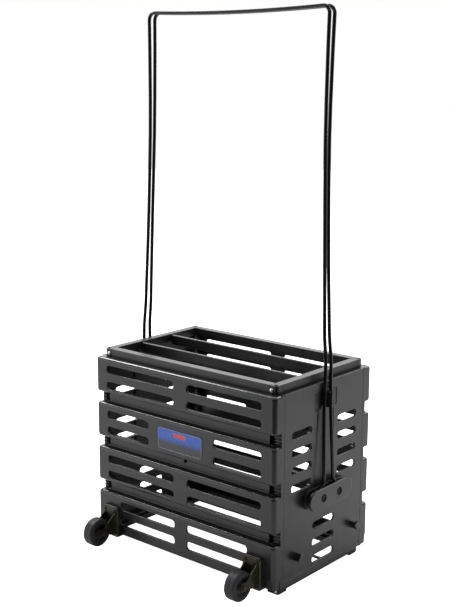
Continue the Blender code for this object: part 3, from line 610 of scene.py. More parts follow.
def course_outline(inset, ends=1.0):
    """Plan of one course, drawn in by inset at its front and by a share of it at its two ends."""
    corner = max(COURSE_CORNER - inset, 0.0008)
    side, front = END - ends * inset, FRONT + inset
    inner = END - POST_WIDTH + OVERLAP
    wall_back = GROOVE_PLANE + OVERLAP
    post_back = FRONT + POST_FRONT + 2 * OVERLAP
    points = arc((corner - side, front + corner), corner, 180, 270, 7)
    points += arc((side - corner, front + corner), corner, 270, 360, 7)
    points += [(side, post_back), (inner, post_back), (inner, wall_back)]
    points += [(-inner, wall_back), (-inner, post_back), (-side, post_back)]
    return points


def wall_blank():
    """Groove wall and corner posts over the full height."""
    post_x = END - POST_WIDTH
    post_front = FRONT + POST_FRONT
    post_back = post_front + POST_DEPTH
    wall_back = GROOVE_PLANE + WALL
    half = [(post_x, GROOVE_PLANE), (post_x, post_front), (END, post_front), (END, post_back),
            (post_x - WALL, post_back), (post_x - WALL, wall_back)]
    return lofted([(mirrored(half), 0.0), (mirrored(half), BOX_HEIGHT)], "Z")


def courses():
    bm = bmesh.new()
    for index in range(COURSE_COUNT):
        bottom, top = course_levels(index)
        if bottom > 0:
            sections = pillow(course_outline, bottom, top, COURSE_RIM, COURSE_RIM, 8)
        else:
            sections = [(course_outline(inset, SKIRT_ENDS), level) for inset, level in SKIRT_STEPS]
            sections += pillow(course_outline, SKIRT_TOP + 0.0016, top, 0.0, COURSE_RIM, 8)
        bands = len(sections) - 1
        # The rim bands take the lighter edge finish: edge wear and a painted highlight along each course's
        # top.
        loft(bm, sections, "Z", edge=range(bands - 8, bands - 1))
    return bm


def coves():
    """Small fillets where the courses' ledges meet the groove wall."""
    bm = bmesh.new()
    span = END - POST_WIDTH - OVERLAP
    for index in range(COURSE_COUNT):
        bottom, top = course_levels(index)
        for level, way in ((top, 1), (bottom, -1)):
            if BOX_HEIGHT - 2 * COVE > level > 2 * COVE:
                front, back = GROOVE_PLANE - COVE, GROOVE_PLANE + OVERLAP
                hollow = arc((front, level + way * COVE), COVE, 0, -90 * way, 5)
                sunk = level - way * OVERLAP
                root = [(front, sunk), (back, sunk), (back, level + way * COVE)]
                prism(bm, hollow + root, "X", -span, span)
    return bm


def wall_details(with_pads):
    """Knuckle ribs in the corner pockets and, in front, the pads that carry the wheels."""
    bm = bmesh.new()
    for index in range(1, COURSE_COUNT):
        middle = course_levels(index)[1] + (COURSE_PITCH - COURSE_HEIGHT) / 2
        for near, far in sides(*RIB_SPAN):
            for offset in RIB_OFFSETS:
                low = middle + offset - RIB_HEIGHT / 2
                rise = math.copysign(RIB_TILT, near)

                def rib(inset, low=low, near=near, far=far, rise=rise):
                    points = rounded((near, low), (far, low + RIB_HEIGHT), 0.0009, inset, 3)
                    return [(x, z + rise * (2 * x - near - far) / (far - near)) for x, z in points]

                sections = pillow(rib, GROOVE_PLANE + 0.0009, FRONT + POST_FRONT + OVERLAP, 0.0008, 0.0, 3)
                loft(bm, sections, "Y")
    if with_pads:
        face = local_box("front_panel")[0].y
        for near, far in sides(*PAD_SPAN):
            pad = rounded_at((near, PAD_HEIGHTS[0]), (far, PAD_HEIGHTS[1]), PAD_ROUND)
            loft(bm, pillow(pad, face, FRONT + 2 * WALL, 0.0012, 0.0), "Y", edge=(0, 1, 2, 3))
    return bm


def nub():
    """Gate mark on the groove wall's middle."""
    bm = bmesh.new()
    level = course_levels(2)[1] + (COURSE_PITCH - COURSE_HEIGHT) * NUB_LEVEL
    turned(bm, ((0.0, GROOVE_PLANE - 0.0042), (0.0016, GROOVE_PLANE - 0.0039), (0.0024, GROOVE_PLANE - 0.003),
                (0.0027, GROOVE_PLANE + 0.001), (0.0, GROOVE_PLANE + 0.001)), 20, "Y", (0.0, 0.0, level))
    return bm


def groove_levels():
    """Lowest and highest level of each groove between two courses."""
    return [(course_levels(index)[1], course_levels(index - 1)[0]) for index in range(1, COURSE_COUNT)]


def niche_backs():
    """Material around the dark niche at each end of a groove."""
    bm = bmesh.new()
    for low, high in groove_levels():
        for near, far in sides(NICHE_SPAN[0] - WALL, NICHE_SPAN[1]):
            back = GROOVE_PLANE + NICHE_DEPTH + WALL
            box(bm, (near, GROOVE_PLANE + WALL / 2, low - WALL / 2), (far, back, high + WALL / 2))
    return bm


def niches():
    """The niche beside the knuckle ribs, with a rounded mouth."""
    bm = bmesh.new()
    for low, high in groove_levels():
        for near, far in sides(NICHE_SPAN[0], NICHE_SPAN[1] + 0.0004):
            niche = rounded_at((near, low + 0.0002), (far, high - 0.0002), NICHE_ROUND, 3)
            loft(bm, mouth(niche, GROOVE_PLANE, -1, NICHE_DEPTH, 0.0008), "Y", edge=LIP_BANDS)
    return bm


def cavities():
    """The hollow behind each course, open towards the inside of the box."""
    side = END - WALL
    corner_back = FRONT + POST_FRONT - OVERLAP
    inner = END - POST_WIDTH - WALL - 0.0008
    half = [(side, FRONT + WALL), (side, corner_back), (inner, corner_back),
            (inner, FRONT + POST_FRONT + POST_DEPTH + WALL)]
    bm = bmesh.new()
    for index in range(COURSE_COUNT):
        bottom, top = course_levels(index)
        low = bottom + (2 if bottom == 0 else 1) * WALL
        prism(bm, mirrored(half), "Z", low, top - WALL)
    return bm


def long_slots(with_pads):
    bm = bmesh.new()
    for index in range(COURSE_COUNT):
        top = course_levels(index)[1]
        inner, outer = SLOT_SPANS[index]
        if index == COURSE_COUNT - 1 and not with_pads:
            inner, outer = SLOT_SPANS[0]
        for row in SLOT_ROWS:
            low, high = top - row - SLOT_HEIGHT / 2, top - row + SLOT_HEIGHT / 2
            for near, far in reversed(sides(inner, outer)):
                slot = rounded_at((near, low), (far, high), SLOT_CORNER)
                loft(bm, mouth(slot, FRONT, -1, 2 * WALL, SLOT_LIP), "Y", edge=LIP_BANDS)
    return bm


def long_panel(node, turn, with_pads):
    bm = combine("black_plastic", wall_blank(), ("UNION", courses()), ("UNION", coves()),
                 ("UNION", wall_details(with_pads)), ("UNION", nub()), ("DIFFERENCE", cavities()),
                 ("DIFFERENCE", long_slots(with_pads)), ("UNION", niche_backs()), ("DIFFERENCE", niches()))
    show(node, bm, "black_plastic", turn)


# ---------------------------------------------------------------- end walls

def along_knots(knots, level):
    """Straight from knot to knot, and level beyond the ends."""
    if level <= knots[0][0]:
        return knots[0][1]
    for (start, first), (end, second) in zip(knots, knots[1:]):
        if level <= end:
            return first + (second - first) * (level - start) / (end - start)
    return knots[-1][1]


def lowered_wire(level, swing):
    """Middle of a lowered bail's leg, from the pivot, as distance across and height."""
    offset = PIVOT_OFFSET - along_knots(LEG_GAP, level)
    height = level - PIVOT_LEVEL
    across = offset * math.cos(swing) - height * math.sin(swing)
    up = offset * math.sin(swing) + height * math.cos(swing)
    return Vector((across, up))


def hook_outline(side, swing, inset, nose):
    """A block beside the lowered wire, on the far side of its swing; nose is its reach over the wire."""
    middle = lowered_wire(HOOK_LEVEL, swing)
    down = (lowered_wire(HOOK_LEVEL + GAP, swing) - middle).normalized()
    away = Vector((-down.y, down.x))
    middle += away * (WIRE_RADIUS + WIRE_CLEARANCE)
    outline = []
    for along, depth in rounded((-HOOK_REACH[0], -nose), (HOOK_REACH[1], HOOK_WIDTH), HOOK_ROUND, inset, 4):
        across, up = middle + down * along + away * depth
        outline.append((side * (PIVOT_OFFSET - across), PIVOT_LEVEL + up))
    return outline


def end_blank():
    """The end wall as a block whose outer face has eased edges and a rounded ledge on top."""

    def outline(inset):
        side = END_HALF - GAP - 0.35 * inset
        return [(-side, inset), (side, inset), (side, BOX_HEIGHT - inset), (-side, BOX_HEIGHT - inset)]

    return lofted(pillow(outline, END - END_RETURN, END, 0.0, LEDGE_ROUND, 5), "X")


def end_hollow():
    half = END_HALF - GAP - WALL
    bm = bmesh.new()
    box(bm, (END - 2 * END_RETURN, -half, WALL), (END - WALL, half, BOX_HEIGHT - WALL))
    return bm


def recess_back(depth, half_width, low, high, face):
    """Material behind a recess in the end wall."""
    bm = bmesh.new()
    box(bm, (END - depth - WALL, -half_width - WALL, low - WALL), (face, half_width + WALL, high))
    return bm


def channel_outline(inset):
    """The wires' channel: it widens downwards and flares out over the pivot."""
    low, high = CHANNEL_LEVELS
    foot, top, flare = CHANNEL_FOOT_HALF - inset, CHANNEL_TOP_HALF - inset, CHANNEL_FLARE
    low += inset
    right = arc((foot + flare, low + flare), flare, 270, 180, 7)
    rise = high - low - flare
    right += [(foot + (top - foot) * share, low + flare + rise * share) for share in (0.5, 1.0)]
    return mirrored(right)


def hooks(rear_side):
    """Blocks with a rounded nose, which hold a lowered bail as a leg. The rear legs stand wider."""
    under, face = HOOK_PLANES
    bm = bmesh.new()
    for side in (-1, 1):
        swing = REAR_SWING if side == rear_side else FRONT_SWING

        def head(inset, side=side, swing=swing):
            return hook_outline(side, swing, inset - HOOK_RIM, HOOK_NOSE - HOOK_RIM)

        neck = hook_outline(side, swing, 0.0, 0.0)
        sections = [(neck, END - WALL / 3), (neck, under)]
        loft(bm, sections + pillow(head, under, face, 0.0004, 0.0011, 3), "X", edge=(6, 7, 8))
    return bm


def end_slots():
    bm = bmesh.new()
    slots = [(-LOW_SLOT_HALF, LOW_SLOT_HALF, level) for level in LOW_SLOT_LEVELS]
    for level in END_SLOT_LEVELS:
        slots += [(near, far, level) for near, far in reversed(sides(*END_SLOT_SPAN))]
    half = END_SLOT_HEIGHT / 2
    for near, far, level in slots:
        slot = rounded_at((near, level - half), (far, level + half), SLOT_CORNER)
        loft(bm, mouth(slot, END, 1, 2 * WALL, SLOT_LIP), "X", edge=LIP_BANDS)
    return bm


def skirt_line():
    """A shallow groove along the foot of the end wall. All its faces take the lighter edge finish, a painted
    highlight line.
    """
    half = END_HALF + CUT_MARGIN
    bm = bmesh.new()
    bed, top, foot = END - SKIRT_LINE_DEPTH, SKIRT_LINE + 0.0012, SKIRT_LINE - 0.0011
    outline = [(END + CUT_MARGIN, top), (END, top), (bed, SKIRT_LINE + 0.0006), (bed, SKIRT_LINE),
               (END, foot), (END + CUT_MARGIN, foot)]
    for face in prism(bm, outline, "Y", -half, half):
        # The groove's faces take the lighter edge finish: a painted highlight line.
        face.material_index = 1
    return bm


def end_panel(node, turn):
    pocket_back = recess_back(POCKET_DEPTH, POCKET_HALF, POCKET_LEVELS[0],
                              BOX_HEIGHT - WALL / 2, END - WALL / 2)
    channel_back = recess_back(CHANNEL_DEPTH, CHANNEL_FOOT_HALF + CHANNEL_FLARE, CHANNEL_LEVELS[0],
                               POCKET_LEVELS[0] + WALL, END - WALL / 3)
    outline = rounded_at((-POCKET_HALF, POCKET_LEVELS[0]), (POCKET_HALF, POCKET_LEVELS[1]), POCKET_ROUND)
    pocket = lofted(mouth(outline, END, 1, POCKET_DEPTH, 0.0006), "X", edge=LIP_BANDS)
    channel = lofted(mouth(channel_outline, END, 1, CHANNEL_DEPTH, 0.0011), "X", edge=LIP_BANDS)
    bm = combine("black_plastic", end_blank(), ("DIFFERENCE", end_hollow()), ("UNION", pocket_back),
                 ("UNION", channel_back), ("UNION", hooks(-1 if turn else 1)), ("DIFFERENCE", end_slots()),
                 ("DIFFERENCE", pocket), ("DIFFERENCE", channel), ("DIFFERENCE", skirt_line()))
    show(node, bm, "black_plastic", turn)


# ---------------------------------------------------------------- bar frames

def reaches(node):
    """Outermost and innermost distance of a node from the middle, along x and along y."""
    low, high = local_box(node)
    pairs = [sorted((abs(low[axis]), abs(high[axis]))) for axis in (0, 1)]
    return (pairs[0][1], pairs[1][1]), (pairs[0][0], pairs[1][0])


def rail(node, turn, top):
    """A channel open towards the box, with a lip that hugs the box's inside.

    The top rails' lip is shorter than the CAD's, so that it leaves the walls' upper slots open.
    """
    low, high = local_box(node)
    cross = abs(turn % math.pi) > 0.1
    (half_length, outer), _ = reaches(node)
    if cross:
        half_length, outer = outer, half_length
    block_low, block_high = local_box("top_corner_front_left" if top else "foot_front_left")
    if top:
        near, far, lip_end = block_low.z, high.z, max(low.z, BOX_HEIGHT - TOP_LIP)
    else:
        near, far, lip_end = block_high.z, low.z, high.z
    web = far + math.copysign(RAIL_WALL, near - far)
    inner, lip = RAIL_WIDTH - outer, LIP_PLANES[cross]
    section = [(-outer, near), (RAIL_WALL - outer, near), (RAIL_WALL - outer, web), (-lip, web),
               (-lip, lip_end), (LIP_THICK - lip, lip_end), (LIP_THICK - lip, web),
               (inner - RAIL_WALL, web), (inner - RAIL_WALL, near), (inner, near), (inner, far),
               (-outer, far)]
    bm = bmesh.new()
    prism(bm, section, "X", -half_length, half_length)
    show(node, bm, "black_rail", turn, bevel=RAIL_EDGE, segments=3, limit=50,
         finish="black_rail_cross" if cross else "black_rail")


def bar(node):
    low, high = local_box(node)
    section = rounded_at((low.y, low.z), (high.y, high.z), BAR_ROUND, 5)
    show(node, lofted(pillow(section, low.x, high.x, 0.0005, 0.0005, 2), "X"), "black_rail")


def corner_block(node, signs, top):
    """A rounded corner block. The upper ones have a notch behind their rim, the feet reeds low down."""
    low, high = local_box(node)
    (outer_x, outer_y), (inner_x, inner_y) = reaches(node)

    def signed(points):
        return [(signs[0] * x, signs[1] * y) for x, y in points]

    def plan(inset):
        corner = max(CORNER_ROUND - inset, 0.001)
        x, y = outer_x - inset, outer_y - inset
        points = [(inner_x, y), (inner_x, inner_y), (x, inner_y)]
        return signed(points + arc((x - corner, y - corner), corner, 0, 90, 8))

    def notch(inset):
        near, far = NOTCH
        start_x, start_y = outer_x - far + inset, outer_y - far + inset
        end_x, end_y = outer_x - near - inset, outer_y - near - inset
        points = [(start_x, start_y), (end_x, start_y)]
        points += arc((end_x - NOTCH_ROUND, end_y - NOTCH_ROUND), NOTCH_ROUND, 0, 90, 4)
        return signed(points + [(start_x, end_y)])

    bm, cuts = bmesh.new(), bmesh.new()
    if top:
        # The rim bands and the notch's lip take the lighter edge finish: edge wear and a painted highlight.
        loft(bm, pillow(plan, low.z, high.z, 0.0007, 0.0012), "Z", edge=(5, 6, 7, 8))
        loft(cuts, mouth(notch, high.z, 1, NOTCH_DEPTH, 0.0005), "Z", edge=LIP_BANDS)
    else:
        loft(bm, pillow(plan, low.z, high.z, 0.003, 0.0008), "Z")
        for share in REED_SHARES:
            x = inner_x + (outer_x - inner_x) * share
            y = inner_y + (outer_y - inner_y) * share
            for centre in ((x, outer_y + REED_STAND), (outer_x + REED_STAND, y)):
                reed = signed(arc(centre, REED_RADIUS, 0, 360, 14)[:-1])
                prism(cuts, reed, "Z", low.z - CUT_MARGIN / 2, low.z + REED_HEIGHT)
    show(node, combine("corner_plastic", bm, ("DIFFERENCE", cuts)), "corner_plastic")


def screw_piece(node, along, outward, slot="bright_screw"):
    """A pan-head screw with a cross recess, on its CAD node's place."""
    low, high = local_box(node)
    axis = "XY".index(along)
    centre = (low + high) / 2
    head = (high.z - low.z) / 2
    start, end = (high[axis], low[axis]) if outward > 0 else (low[axis], high[axis])
    centre[axis] = 0.0
    height = min(0.42 * head + 0.0003, 0.0019)
    seat = start - outward * height
    shank = 0.46 * head
    profile = dome(head, start, 0.85 * outward * height, (0, 20, 38, 55, 72, 90))
    profile += [(head, seat), (shank, seat), (shank, end), (0.0, end)]
    bm = bmesh.new()
    turned(bm, profile, 28, along, centre)
    wide, long, depth = 0.11 * head, 0.52 * head, 0.6 * height
    middle = (centre[1 - axis], centre.z)
    for u, v in ((wide, long), (long, wide)):
        floor, rim = oblong(middle, (0.6 * u, 0.6 * v)), oblong(middle, (u, v))
        arm = lofted([(floor, start - outward * depth), (rim, start + outward * 0.0002)], along)
        for face in arm.faces:
            face.material_index = 1
        bm = combine(slot, bm, ("DIFFERENCE", arm))
    show(node, bm, slot)


def bar_frames():
    for index, name in enumerate(("front", "right", "rear", "left")):
        rail(f"top_rail_{name}", index * math.pi / 2, True)
        rail(f"low_rail_{name}", index * math.pi / 2, False)
    for y_name, y_sign in (("front", -1), ("rear", 1)):
        bar(f"top_bar_{y_name}")
        bar(f"pickup_bar_{y_name}")
        for x_name, x_sign in (("left", -1), ("right", 1)):
            corner_block(f"top_corner_{y_name}_{x_name}", (x_sign, y_sign), True)
            corner_block(f"foot_{y_name}_{x_name}", (x_sign, y_sign), False)
            screw_piece(f"top_screw_{y_name}_{x_name}", "Y", y_sign)
            screw_piece(f"low_screw_{y_name}_{x_name}", "Y", y_sign)


# ---------------------------------------------------------------- bails and pivots

def lean_at(level):
    return LEAN * (max(0.0, level - LEAN_FROM) / (BAIL_TOP - LEAN_FROM)) ** LEAN_POWER


def half_bail(side):
    """Middle line of one half of a bail, from the end of the eye to the middle of the crossbar."""
    points = []
    bend_y = LEG_GAP[0][1] + BEND_RADIUS
    bend_rise = math.sqrt((BEND_RADIUS + EYE_RADIUS) ** 2 - (bend_y - PIVOT_OFFSET) ** 2)
    meeting = math.atan2(bend_y - PIVOT_OFFSET, bend_rise)
    for i in range(33):
        turn = EYE_TURN + (meeting - EYE_TURN) * i / 32
        y = side * (PIVOT_OFFSET + EYE_RADIUS * math.sin(turn))
        points.append((PIVOT_PLANE, y, PIVOT_LEVEL + EYE_RADIUS * math.cos(turn)))
    for i in range(1, 15):
        angle = meeting + (math.pi / 2 - meeting) * i / 14
        y = side * (bend_y - BEND_RADIUS * math.sin(angle))
        points.append((PIVOT_PLANE, y, PIVOT_LEVEL + bend_rise - BEND_RADIUS * math.cos(angle)))
    corner_level = BAIL_TOP - BAIL_CORNER
    for i in range(91):
        level = LEGS_FROM + (corner_level - LEGS_FROM) * i / 90
        y = side * along_knots(LEG_GAP, level) + lean_at(level)
        points.append((along_knots(LEG_SPREAD, level), y, level))
    top_half = LEG_SPREAD[-1][1] - BAIL_CORNER
    y = side * LEG_GAP[-1][1] + lean_at(BAIL_TOP)
    for i in range(1, 11):
        angle = math.radians(9 * i)
        x, z = BAIL_CORNER * math.cos(angle), BAIL_CORNER * math.sin(angle)
        points.append((top_half + x, y, corner_level + z))
    for i in range(15, -1, -1):
        share = i / 16
        points.append((top_half * share, y, BAIL_TOP - BAIL_SAG * (1 - share * share)))
    return points


def bail(node, side):
    """A bent wire. Its eyes lie flat around the bosses of the pivots."""
    half = half_bail(side)
    path = half + [(-x, y, z) for x, y, z in reversed(half[:-1])]
    curve = bpy.data.curves.new(node + "_fine", "CURVE")
    curve.dimensions = "3D"
    curve.bevel_depth = WIRE_RADIUS
    curve.bevel_resolution = 5
    curve.use_fill_caps = True
    spline = curve.splines.new("POLY")
    spline.points.add(len(path) - 1)
    for point, place in zip(spline.points, path):
        point.co = (*(Vector(place) + BASE), 1.0)
    for material in FINISHES["gloss_wire"]:
        curve.materials.append(material)
    obj = bpy.data.objects.new(node + "_fine", curve)
    bpy.context.scene.collection.objects.link(obj)
    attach(obj, BODY_OF[node])
    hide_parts(node)


def pivot(side_name, turn):
    """Base with two bosses, cover with two screw seats, and the screws."""
    low, high = local_box("pivot_cover_right")
    base_low, _ = local_box("pivot_base_right")
    half_length, half_height = (high.y - low.y) / 2, (high.z - low.z) / 2
    stadium = rounded_at((-half_length, PIVOT_LEVEL - half_height), (half_length, PIVOT_LEVEL + half_height),
                         half_height, 12)
    base_face = base_low.x + PIVOT_BASE
    boss_face = low.x - GAP
    bm = lofted(pillow(stadium, base_low.x, base_face, 0.0, 0.0006, 3), "X")
    bosses = bmesh.new()
    for y in (-PIVOT_OFFSET, PIVOT_OFFSET):
        boss = ((0.0, base_face - 0.001), (BOSS_RADIUS, base_face - 0.001), (BOSS_RADIUS, boss_face - 0.0004),
                (BOSS_RADIUS - 0.0004, boss_face), (0.0, boss_face))
        turned(bosses, boss, 32, "X", (0.0, y, PIVOT_LEVEL))
    foot = PIVOT_LEVEL - half_height + GAP
    box(bosses, (base_face - 0.001, -RIM_HALF, foot), (boss_face, RIM_HALF, foot + RIM_HEIGHT))
    bm = combine("black_plastic", bm, ("UNION", bosses))
    show(f"pivot_base_{side_name}", bm, "black_plastic", turn)

    bm = lofted(pillow(stadium, low.x, high.x, 0.0004, 0.0013, 4), "X", edge=(6, 7, 8, 9))
    seats = bmesh.new()
    for y in (-PIVOT_OFFSET, PIVOT_OFFSET):
        floor, mouth_radius = high.x - SCREW_SEAT_DEPTH, SCREW_SEAT_RADIUS + 0.0005
        seat = ((0.0, floor), (SCREW_SEAT_RADIUS, floor), (SCREW_SEAT_RADIUS, high.x - 0.0005),
                (mouth_radius, high.x + 0.00005), (mouth_radius, high.x + 0.002), (0.0, high.x + 0.002))
        turned(seats, seat, 32, "X", (0.0, y, PIVOT_LEVEL))
    bm = combine("black_plastic", bm, ("DIFFERENCE", seats))
    show(f"pivot_cover_{side_name}", bm, "black_plastic", turn)
    outward = 1 if side_name == "right" else -1
    for y_name in ("front", "rear"):
        screw_piece(f"pivot_screw_{side_name}_{y_name}", "X", outward, "dark_screw")


def clip(side_name, turn):
    """Back plate in the pocket, and a wedge that stands out between the wires."""
    low, high = local_box("handle_clip_right")
    plate = rounded_at((low.y, POCKET_LEVELS[0] + GAP), (high.y, high.z), POCKET_ROUND)
    plate_face = END - PLATE_STEP
    bm = lofted(pillow(plate, low.x, plate_face, 0.0, 0.0005, 2), "X")
    tip = high.x - KEEPER_EDGE
    half_section = [(plate_face - 0.001, KEEPER_ROOT), (tip, KEEPER_TIP)]
    half_section += arc((tip, KEEPER_TIP - KEEPER_EDGE), KEEPER_EDGE, 90, 0, 4)
    section = half_section + [(x, -y) for x, y in reversed(half_section)]
    keeper = bmesh.new()
    prism(keeper, section, "Z", *KEEPER_LEVELS)
    bm = combine("corner_plastic", bm, ("UNION", keeper))
    show(f"handle_clip_{side_name}", bm, "corner_plastic", turn, bevel=0.0005, limit=50)


# ---------------------------------------------------------------- label and wheels

def label():
    low, high = local_box("label_plate")
    outline = rounded_at((low.x, low.z), (high.x, high.z), LABEL_ROUND)
    bm = lofted(pillow(outline, low.y, high.y, 0.00025, 0.0, 2), "Y", edge=(0, 1))
    show("label_plate", bm, "label_film")


def wheel_bracket(node, middle, axle):
    """Bent sheet: a plate on the wall's pad and two ears that taper down to the axle."""
    low, high = local_box(node)
    plate_back = high.y
    plate_face = plate_back - SHEET
    plate = rounded_at((low.x, BRACKET_FOOT), (high.x, high.z), PAD_ROUND)
    bm = lofted(pillow(plate, plate_face, plate_back, 0.0005, 0.0, 2), "Y", edge=(0, 1))
    ears = bmesh.new()
    outline = [(plate_back - SHEET / 2, EAR_TOP)]
    outline += arc((axle.y, axle.z), EAR_ROUND, 52, 262, 20)
    outline += [(axle.y + EAR_NOTCH[0], axle.z + EAR_NOTCH[1])]
    outline += [(plate_back - SHEET / 2, BRACKET_FOOT + 0.001)]
    for near in (-EAR_OUTSIDE, EAR_OUTSIDE - SHEET):
        prism(ears, outline, "X", middle + near, middle + near + SHEET)
    bm = combine("dark_bracket", bm, ("UNION", ears))
    show(node, bm, "dark_bracket", bevel=0.0004, limit=50)


def wheel(side_name, side):
    hub_low, hub_high = local_box(f"wheel_hub_{side_name}")
    axle = (hub_low + hub_high) / 2
    wheel_bracket(f"wheel_bracket_{side_name}", axle.x, axle)
    for where in ("inner", "outer"):
        screw_piece(f"bracket_screw_{side_name}_{where}", "Y", -1, "dark_bracket")

    bolt_low, bolt_high = local_box(f"axle_bolt_{side_name}")
    far, tail = bolt_high.x - axle.x, axle.x - bolt_low.x
    if side < 0:
        far, tail = tail, far
    seat = EAR_OUTSIDE + GAP
    head = (bolt_high.z - bolt_low.z) / 2
    profile = dome(head, far, 0.8 * (far - seat), range(0, 91, 18))
    profile += [(head, seat), (AXLE_RADIUS, seat), (AXLE_RADIUS, 0.0006 - tail)]
    profile += [(AXLE_RADIUS - 0.0006, -tail), (0.0, -tail)]
    bm = bmesh.new()
    turned(bm, [(radius, side * distance) for radius, distance in profile], 28, "X", axle)
    show(f"axle_bolt_{side_name}", bm, "dark_bracket")

    nut_low, nut_high = local_box(f"axle_nut_{side_name}")
    radius = (nut_high.y - nut_low.y) / 2
    near, away = nut_high.x - axle.x, nut_low.x - axle.x
    if side < 0:
        near, away = away, near
    bore = AXLE_RADIUS + 2 * GAP
    bm = bmesh.new()
    turned(bm, ((bore, near), (radius, near), (radius, away), (bore, away)), 6, "X", axle)
    show(f"axle_nut_{side_name}", bm, "dark_bracket", bevel=0.0005, limit=25)

    edge = (hub_low.x - hub_high.x) / 2
    face = edge + 0.001
    dish = face + 0.0024
    rim = HUB_RADIUS - 0.0025
    hub = [(AXLE_RADIUS + GAP, edge), (0.0058, edge), (0.0063, edge + 0.0005), (0.0064, dish - 0.0006),
           (0.0072, dish), (rim - 0.0008, dish), (rim, dish - 0.0006), (rim, face + 0.0004),
           (rim + 0.0004, face), (HUB_RADIUS - 0.0004, face), (HUB_RADIUS, face + 0.0004)]
    tyre_low, tyre_high = local_box(f"tyre_{side_name}")
    wide = (tyre_low.x - tyre_high.x) / 2
    radius = (tyre_high.z - tyre_low.z) / 2
    shoulder = radius - TYRE_SHOULDER
    tyre = [(HUB_RADIUS + GAP, wide + 0.001), (HUB_RADIUS + 0.0011, wide + 0.0002)]
    tyre += [(HUB_RADIUS + 0.0025, wide), (shoulder - 0.0009, wide), (shoulder - 0.0006, wide + 0.00035)]
    curve = dome(TYRE_SHOULDER, wide, -TYRE_SHOULDER, range(6, 91, 12))
    tyre += [(shoulder + across, along) for across, along in curve]
    tyre += [(radius, -0.0006), (radius - 0.0003, -0.0003)]
    for name, half_profile, slot in ((f"wheel_hub_{side_name}", hub, "hub_plastic"),
                                     (f"tyre_{side_name}", tyre, "grey_tyre")):
        profile = half_profile + [(r, -distance) for r, distance in reversed(half_profile)]
        bm = bmesh.new()
        turned(bm, profile, 72, "X", axle)
        show(name, bm, slot)


def build_caddy():
    long_panel("front_panel", 0.0, True)
    long_panel("rear_panel", math.pi, False)
    end_panel("right_end_panel", 0.0)
    end_panel("left_end_panel", math.pi)
    bar_frames()
    bail("front_bail", -1)
    bail("rear_bail", 1)
    for side_name, turn in (("right", 0.0), ("left", math.pi)):
        pivot(side_name, turn)
        clip(side_name, turn)
    label()
    wheel("left", -1)
    wheel("right", 1)


# ---------------------------------------------------------------- camera and studio

CAMERA_PLACE = (1.20809, -1.42779, 0.80388)
CAMERA_YAW = math.radians(40.458)
CAMERA_PITCH = math.radians(11.588)
CAMERA_ROLL = 0.0029
LENS = 66.33
FLOOR_GLOW = 1.1
FLOOR_FRONT, FLOOR_BACK, FLOOR_SIDE = 0.7, 8.0, 6.0
OPEN_FRONT = (0.10, 0.70, 1.0, 0.04)


def camera():
    yaw, pitch, roll = CAMERA_YAW, CAMERA_PITCH, CAMERA_ROLL
    back = Vector((math.sin(yaw) * math.cos(pitch), -math.cos(yaw) * math.cos(pitch), math.sin(pitch)))
    right = Vector((math.cos(yaw), math.sin(yaw), 0.0))
    up = back.cross(right)
    rolled_right = math.cos(roll) * right + math.sin(roll) * up
    rolled_up = math.cos(roll) * up - math.sin(roll) * right
    data = bpy.data.cameras.new("camera")
    data.sensor_width = 36.0
    data.lens = LENS
    data.clip_end = 50.0
    obj = bpy.data.objects.new("camera", data)
    obj.matrix_world = Matrix((rolled_right, rolled_up, back)).transposed().to_4x4()
    obj.location = Vector(CAMERA_PLACE) + BASE
    bpy.context.scene.collection.objects.link(obj)
    bpy.context.scene.camera = obj


def softbox(name, place, target, size, radiance):
    """An even rectangular light. radiance is how bright its face is beside the white backdrop."""
    data = bpy.data.lights.new(name, "AREA")
    data.shape = "RECTANGLE"
    data.size, data.size_y = size
    data.energy = radiance * math.pi * size[0] * size[1]
    obj = bpy.data.objects.new(name, data)
    obj.location = place
    aim = Vector(target) - Vector(place)
    obj.rotation_euler = aim.to_track_quat("-Z", "Y").to_euler()
    bpy.context.scene.collection.objects.link(obj)


def white_room():
    """White surroundings that fall off towards the open front of the studio; the backdrop stays white."""
    world = bpy.data.worlds.new("studio_world")
    world.use_nodes = True
    nodes, links = world.node_tree.nodes, world.node_tree.links
    direction = nodes.new("ShaderNodeTexCoord").outputs["Generated"]
    facing = nodes.new("ShaderNodeVectorMath")
    facing.operation = "DOT_PRODUCT"
    facing.inputs[1].default_value = (math.sin(CAMERA_YAW), -math.cos(CAMERA_YAW), 0.0)
    links.new(direction, facing.inputs[0])
    fall = nodes.new("ShaderNodeMapRange")
    fall.interpolation_type = "SMOOTHSTEP"
    for socket, number in zip(("From Min", "From Max", "To Min", "To Max"), OPEN_FRONT):
        fall.inputs[socket].default_value = number
    links.new(facing.outputs["Value"], fall.inputs["Value"])
    backdrop = nodes.new("ShaderNodeMix")
    links.new(nodes.new("ShaderNodeLightPath").outputs["Is Camera Ray"], backdrop.inputs["Factor"])
    links.new(fall.outputs["Result"], backdrop.inputs["A"])
    backdrop.inputs["B"].default_value = 1.0
    links.new(backdrop.outputs["Result"], nodes["Background"].inputs["Strength"])
    nodes["Background"].inputs["Color"].default_value = (1.0, 1.0, 1.0, 1.0)
    bpy.context.scene.world = world


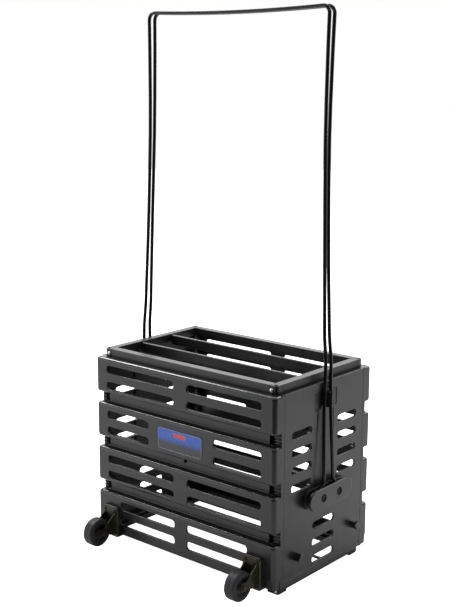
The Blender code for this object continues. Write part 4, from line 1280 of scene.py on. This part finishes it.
def studio():
    bm = bmesh.new()
    front = Vector((math.sin(CAMERA_YAW), -math.cos(CAMERA_YAW), 0.0))
    aside = Vector((math.cos(CAMERA_YAW), math.sin(CAMERA_YAW), 0.0))
    corners = [(FLOOR_FRONT, side) for side in (-FLOOR_SIDE, FLOOR_SIDE)]
    corners += [(-FLOOR_BACK, side) for side in (FLOOR_SIDE, -FLOOR_SIDE)]
    bm.faces.new([bm.verts.new(front * near + aside * wide) for near, wide in corners])
    mesh = bpy.data.meshes.new("studio_floor")
    bm.to_mesh(mesh)
    bm.free()
    paper = Surface("studio_paper", specular=0.1)
    paper.colour(paper.mix(paper.noise(3.0), (0.90, 0.90, 0.90), (0.93, 0.93, 0.93)))
    paper.roughness(0.9)
    paper.put(paper.shader.inputs["Emission Color"], (1.0, 1.0, 1.0, 1.0))
    seen = paper.tree.nodes.new("ShaderNodeLightPath").outputs["Is Camera Ray"]
    paper.put(paper.shader.inputs["Emission Strength"], paper.math("MULTIPLY", seen, FLOOR_GLOW))
    mesh.materials.append(paper.material)
    floor = bpy.data.objects.new("studio_floor", mesh)
    floor.location = (0.0, 0.0, -0.0002)
    bpy.context.scene.collection.objects.link(floor)

    white_room()
    softbox("back_softbox", (-1.6, 2.6, 1.1), (0.0, 0.0, 0.3), (3.6, 2.2), 1.0)
    softbox("right_softbox", (1.9, 2.2, 0.9), (0.0, 0.0, 0.2), (1.6, 1.8), 0.05)
    softbox("left_softbox", (-2.0, -1.5, 0.5), (0.0, 0.0, 0.2), (1.8, 1.0), 1.2)
    softbox("top_softbox", (-0.9, 1.1, 2.6), (0.0, 0.0, 0.3), (2.2, 1.4), 2.5)
    softbox("high_left_softbox", (-1.5, -0.1, 1.9), (0.0, 0.0, 0.3), (0.6, 0.5), 26.0)
    softbox("high_back_softbox", (0.45, 1.7, 1.6), (0.0, 0.0, 0.3), (0.9, 0.6), 6.0)
    softbox("camera_softbox", (1.3, -1.4, 2.0), (0.0, 0.0, 0.3), (0.5, 0.4), 11.0)
    bpy.context.scene.view_settings.view_transform = "Standard"


build_caddy()
camera()
studio()
bpy.context.view_layer.update()
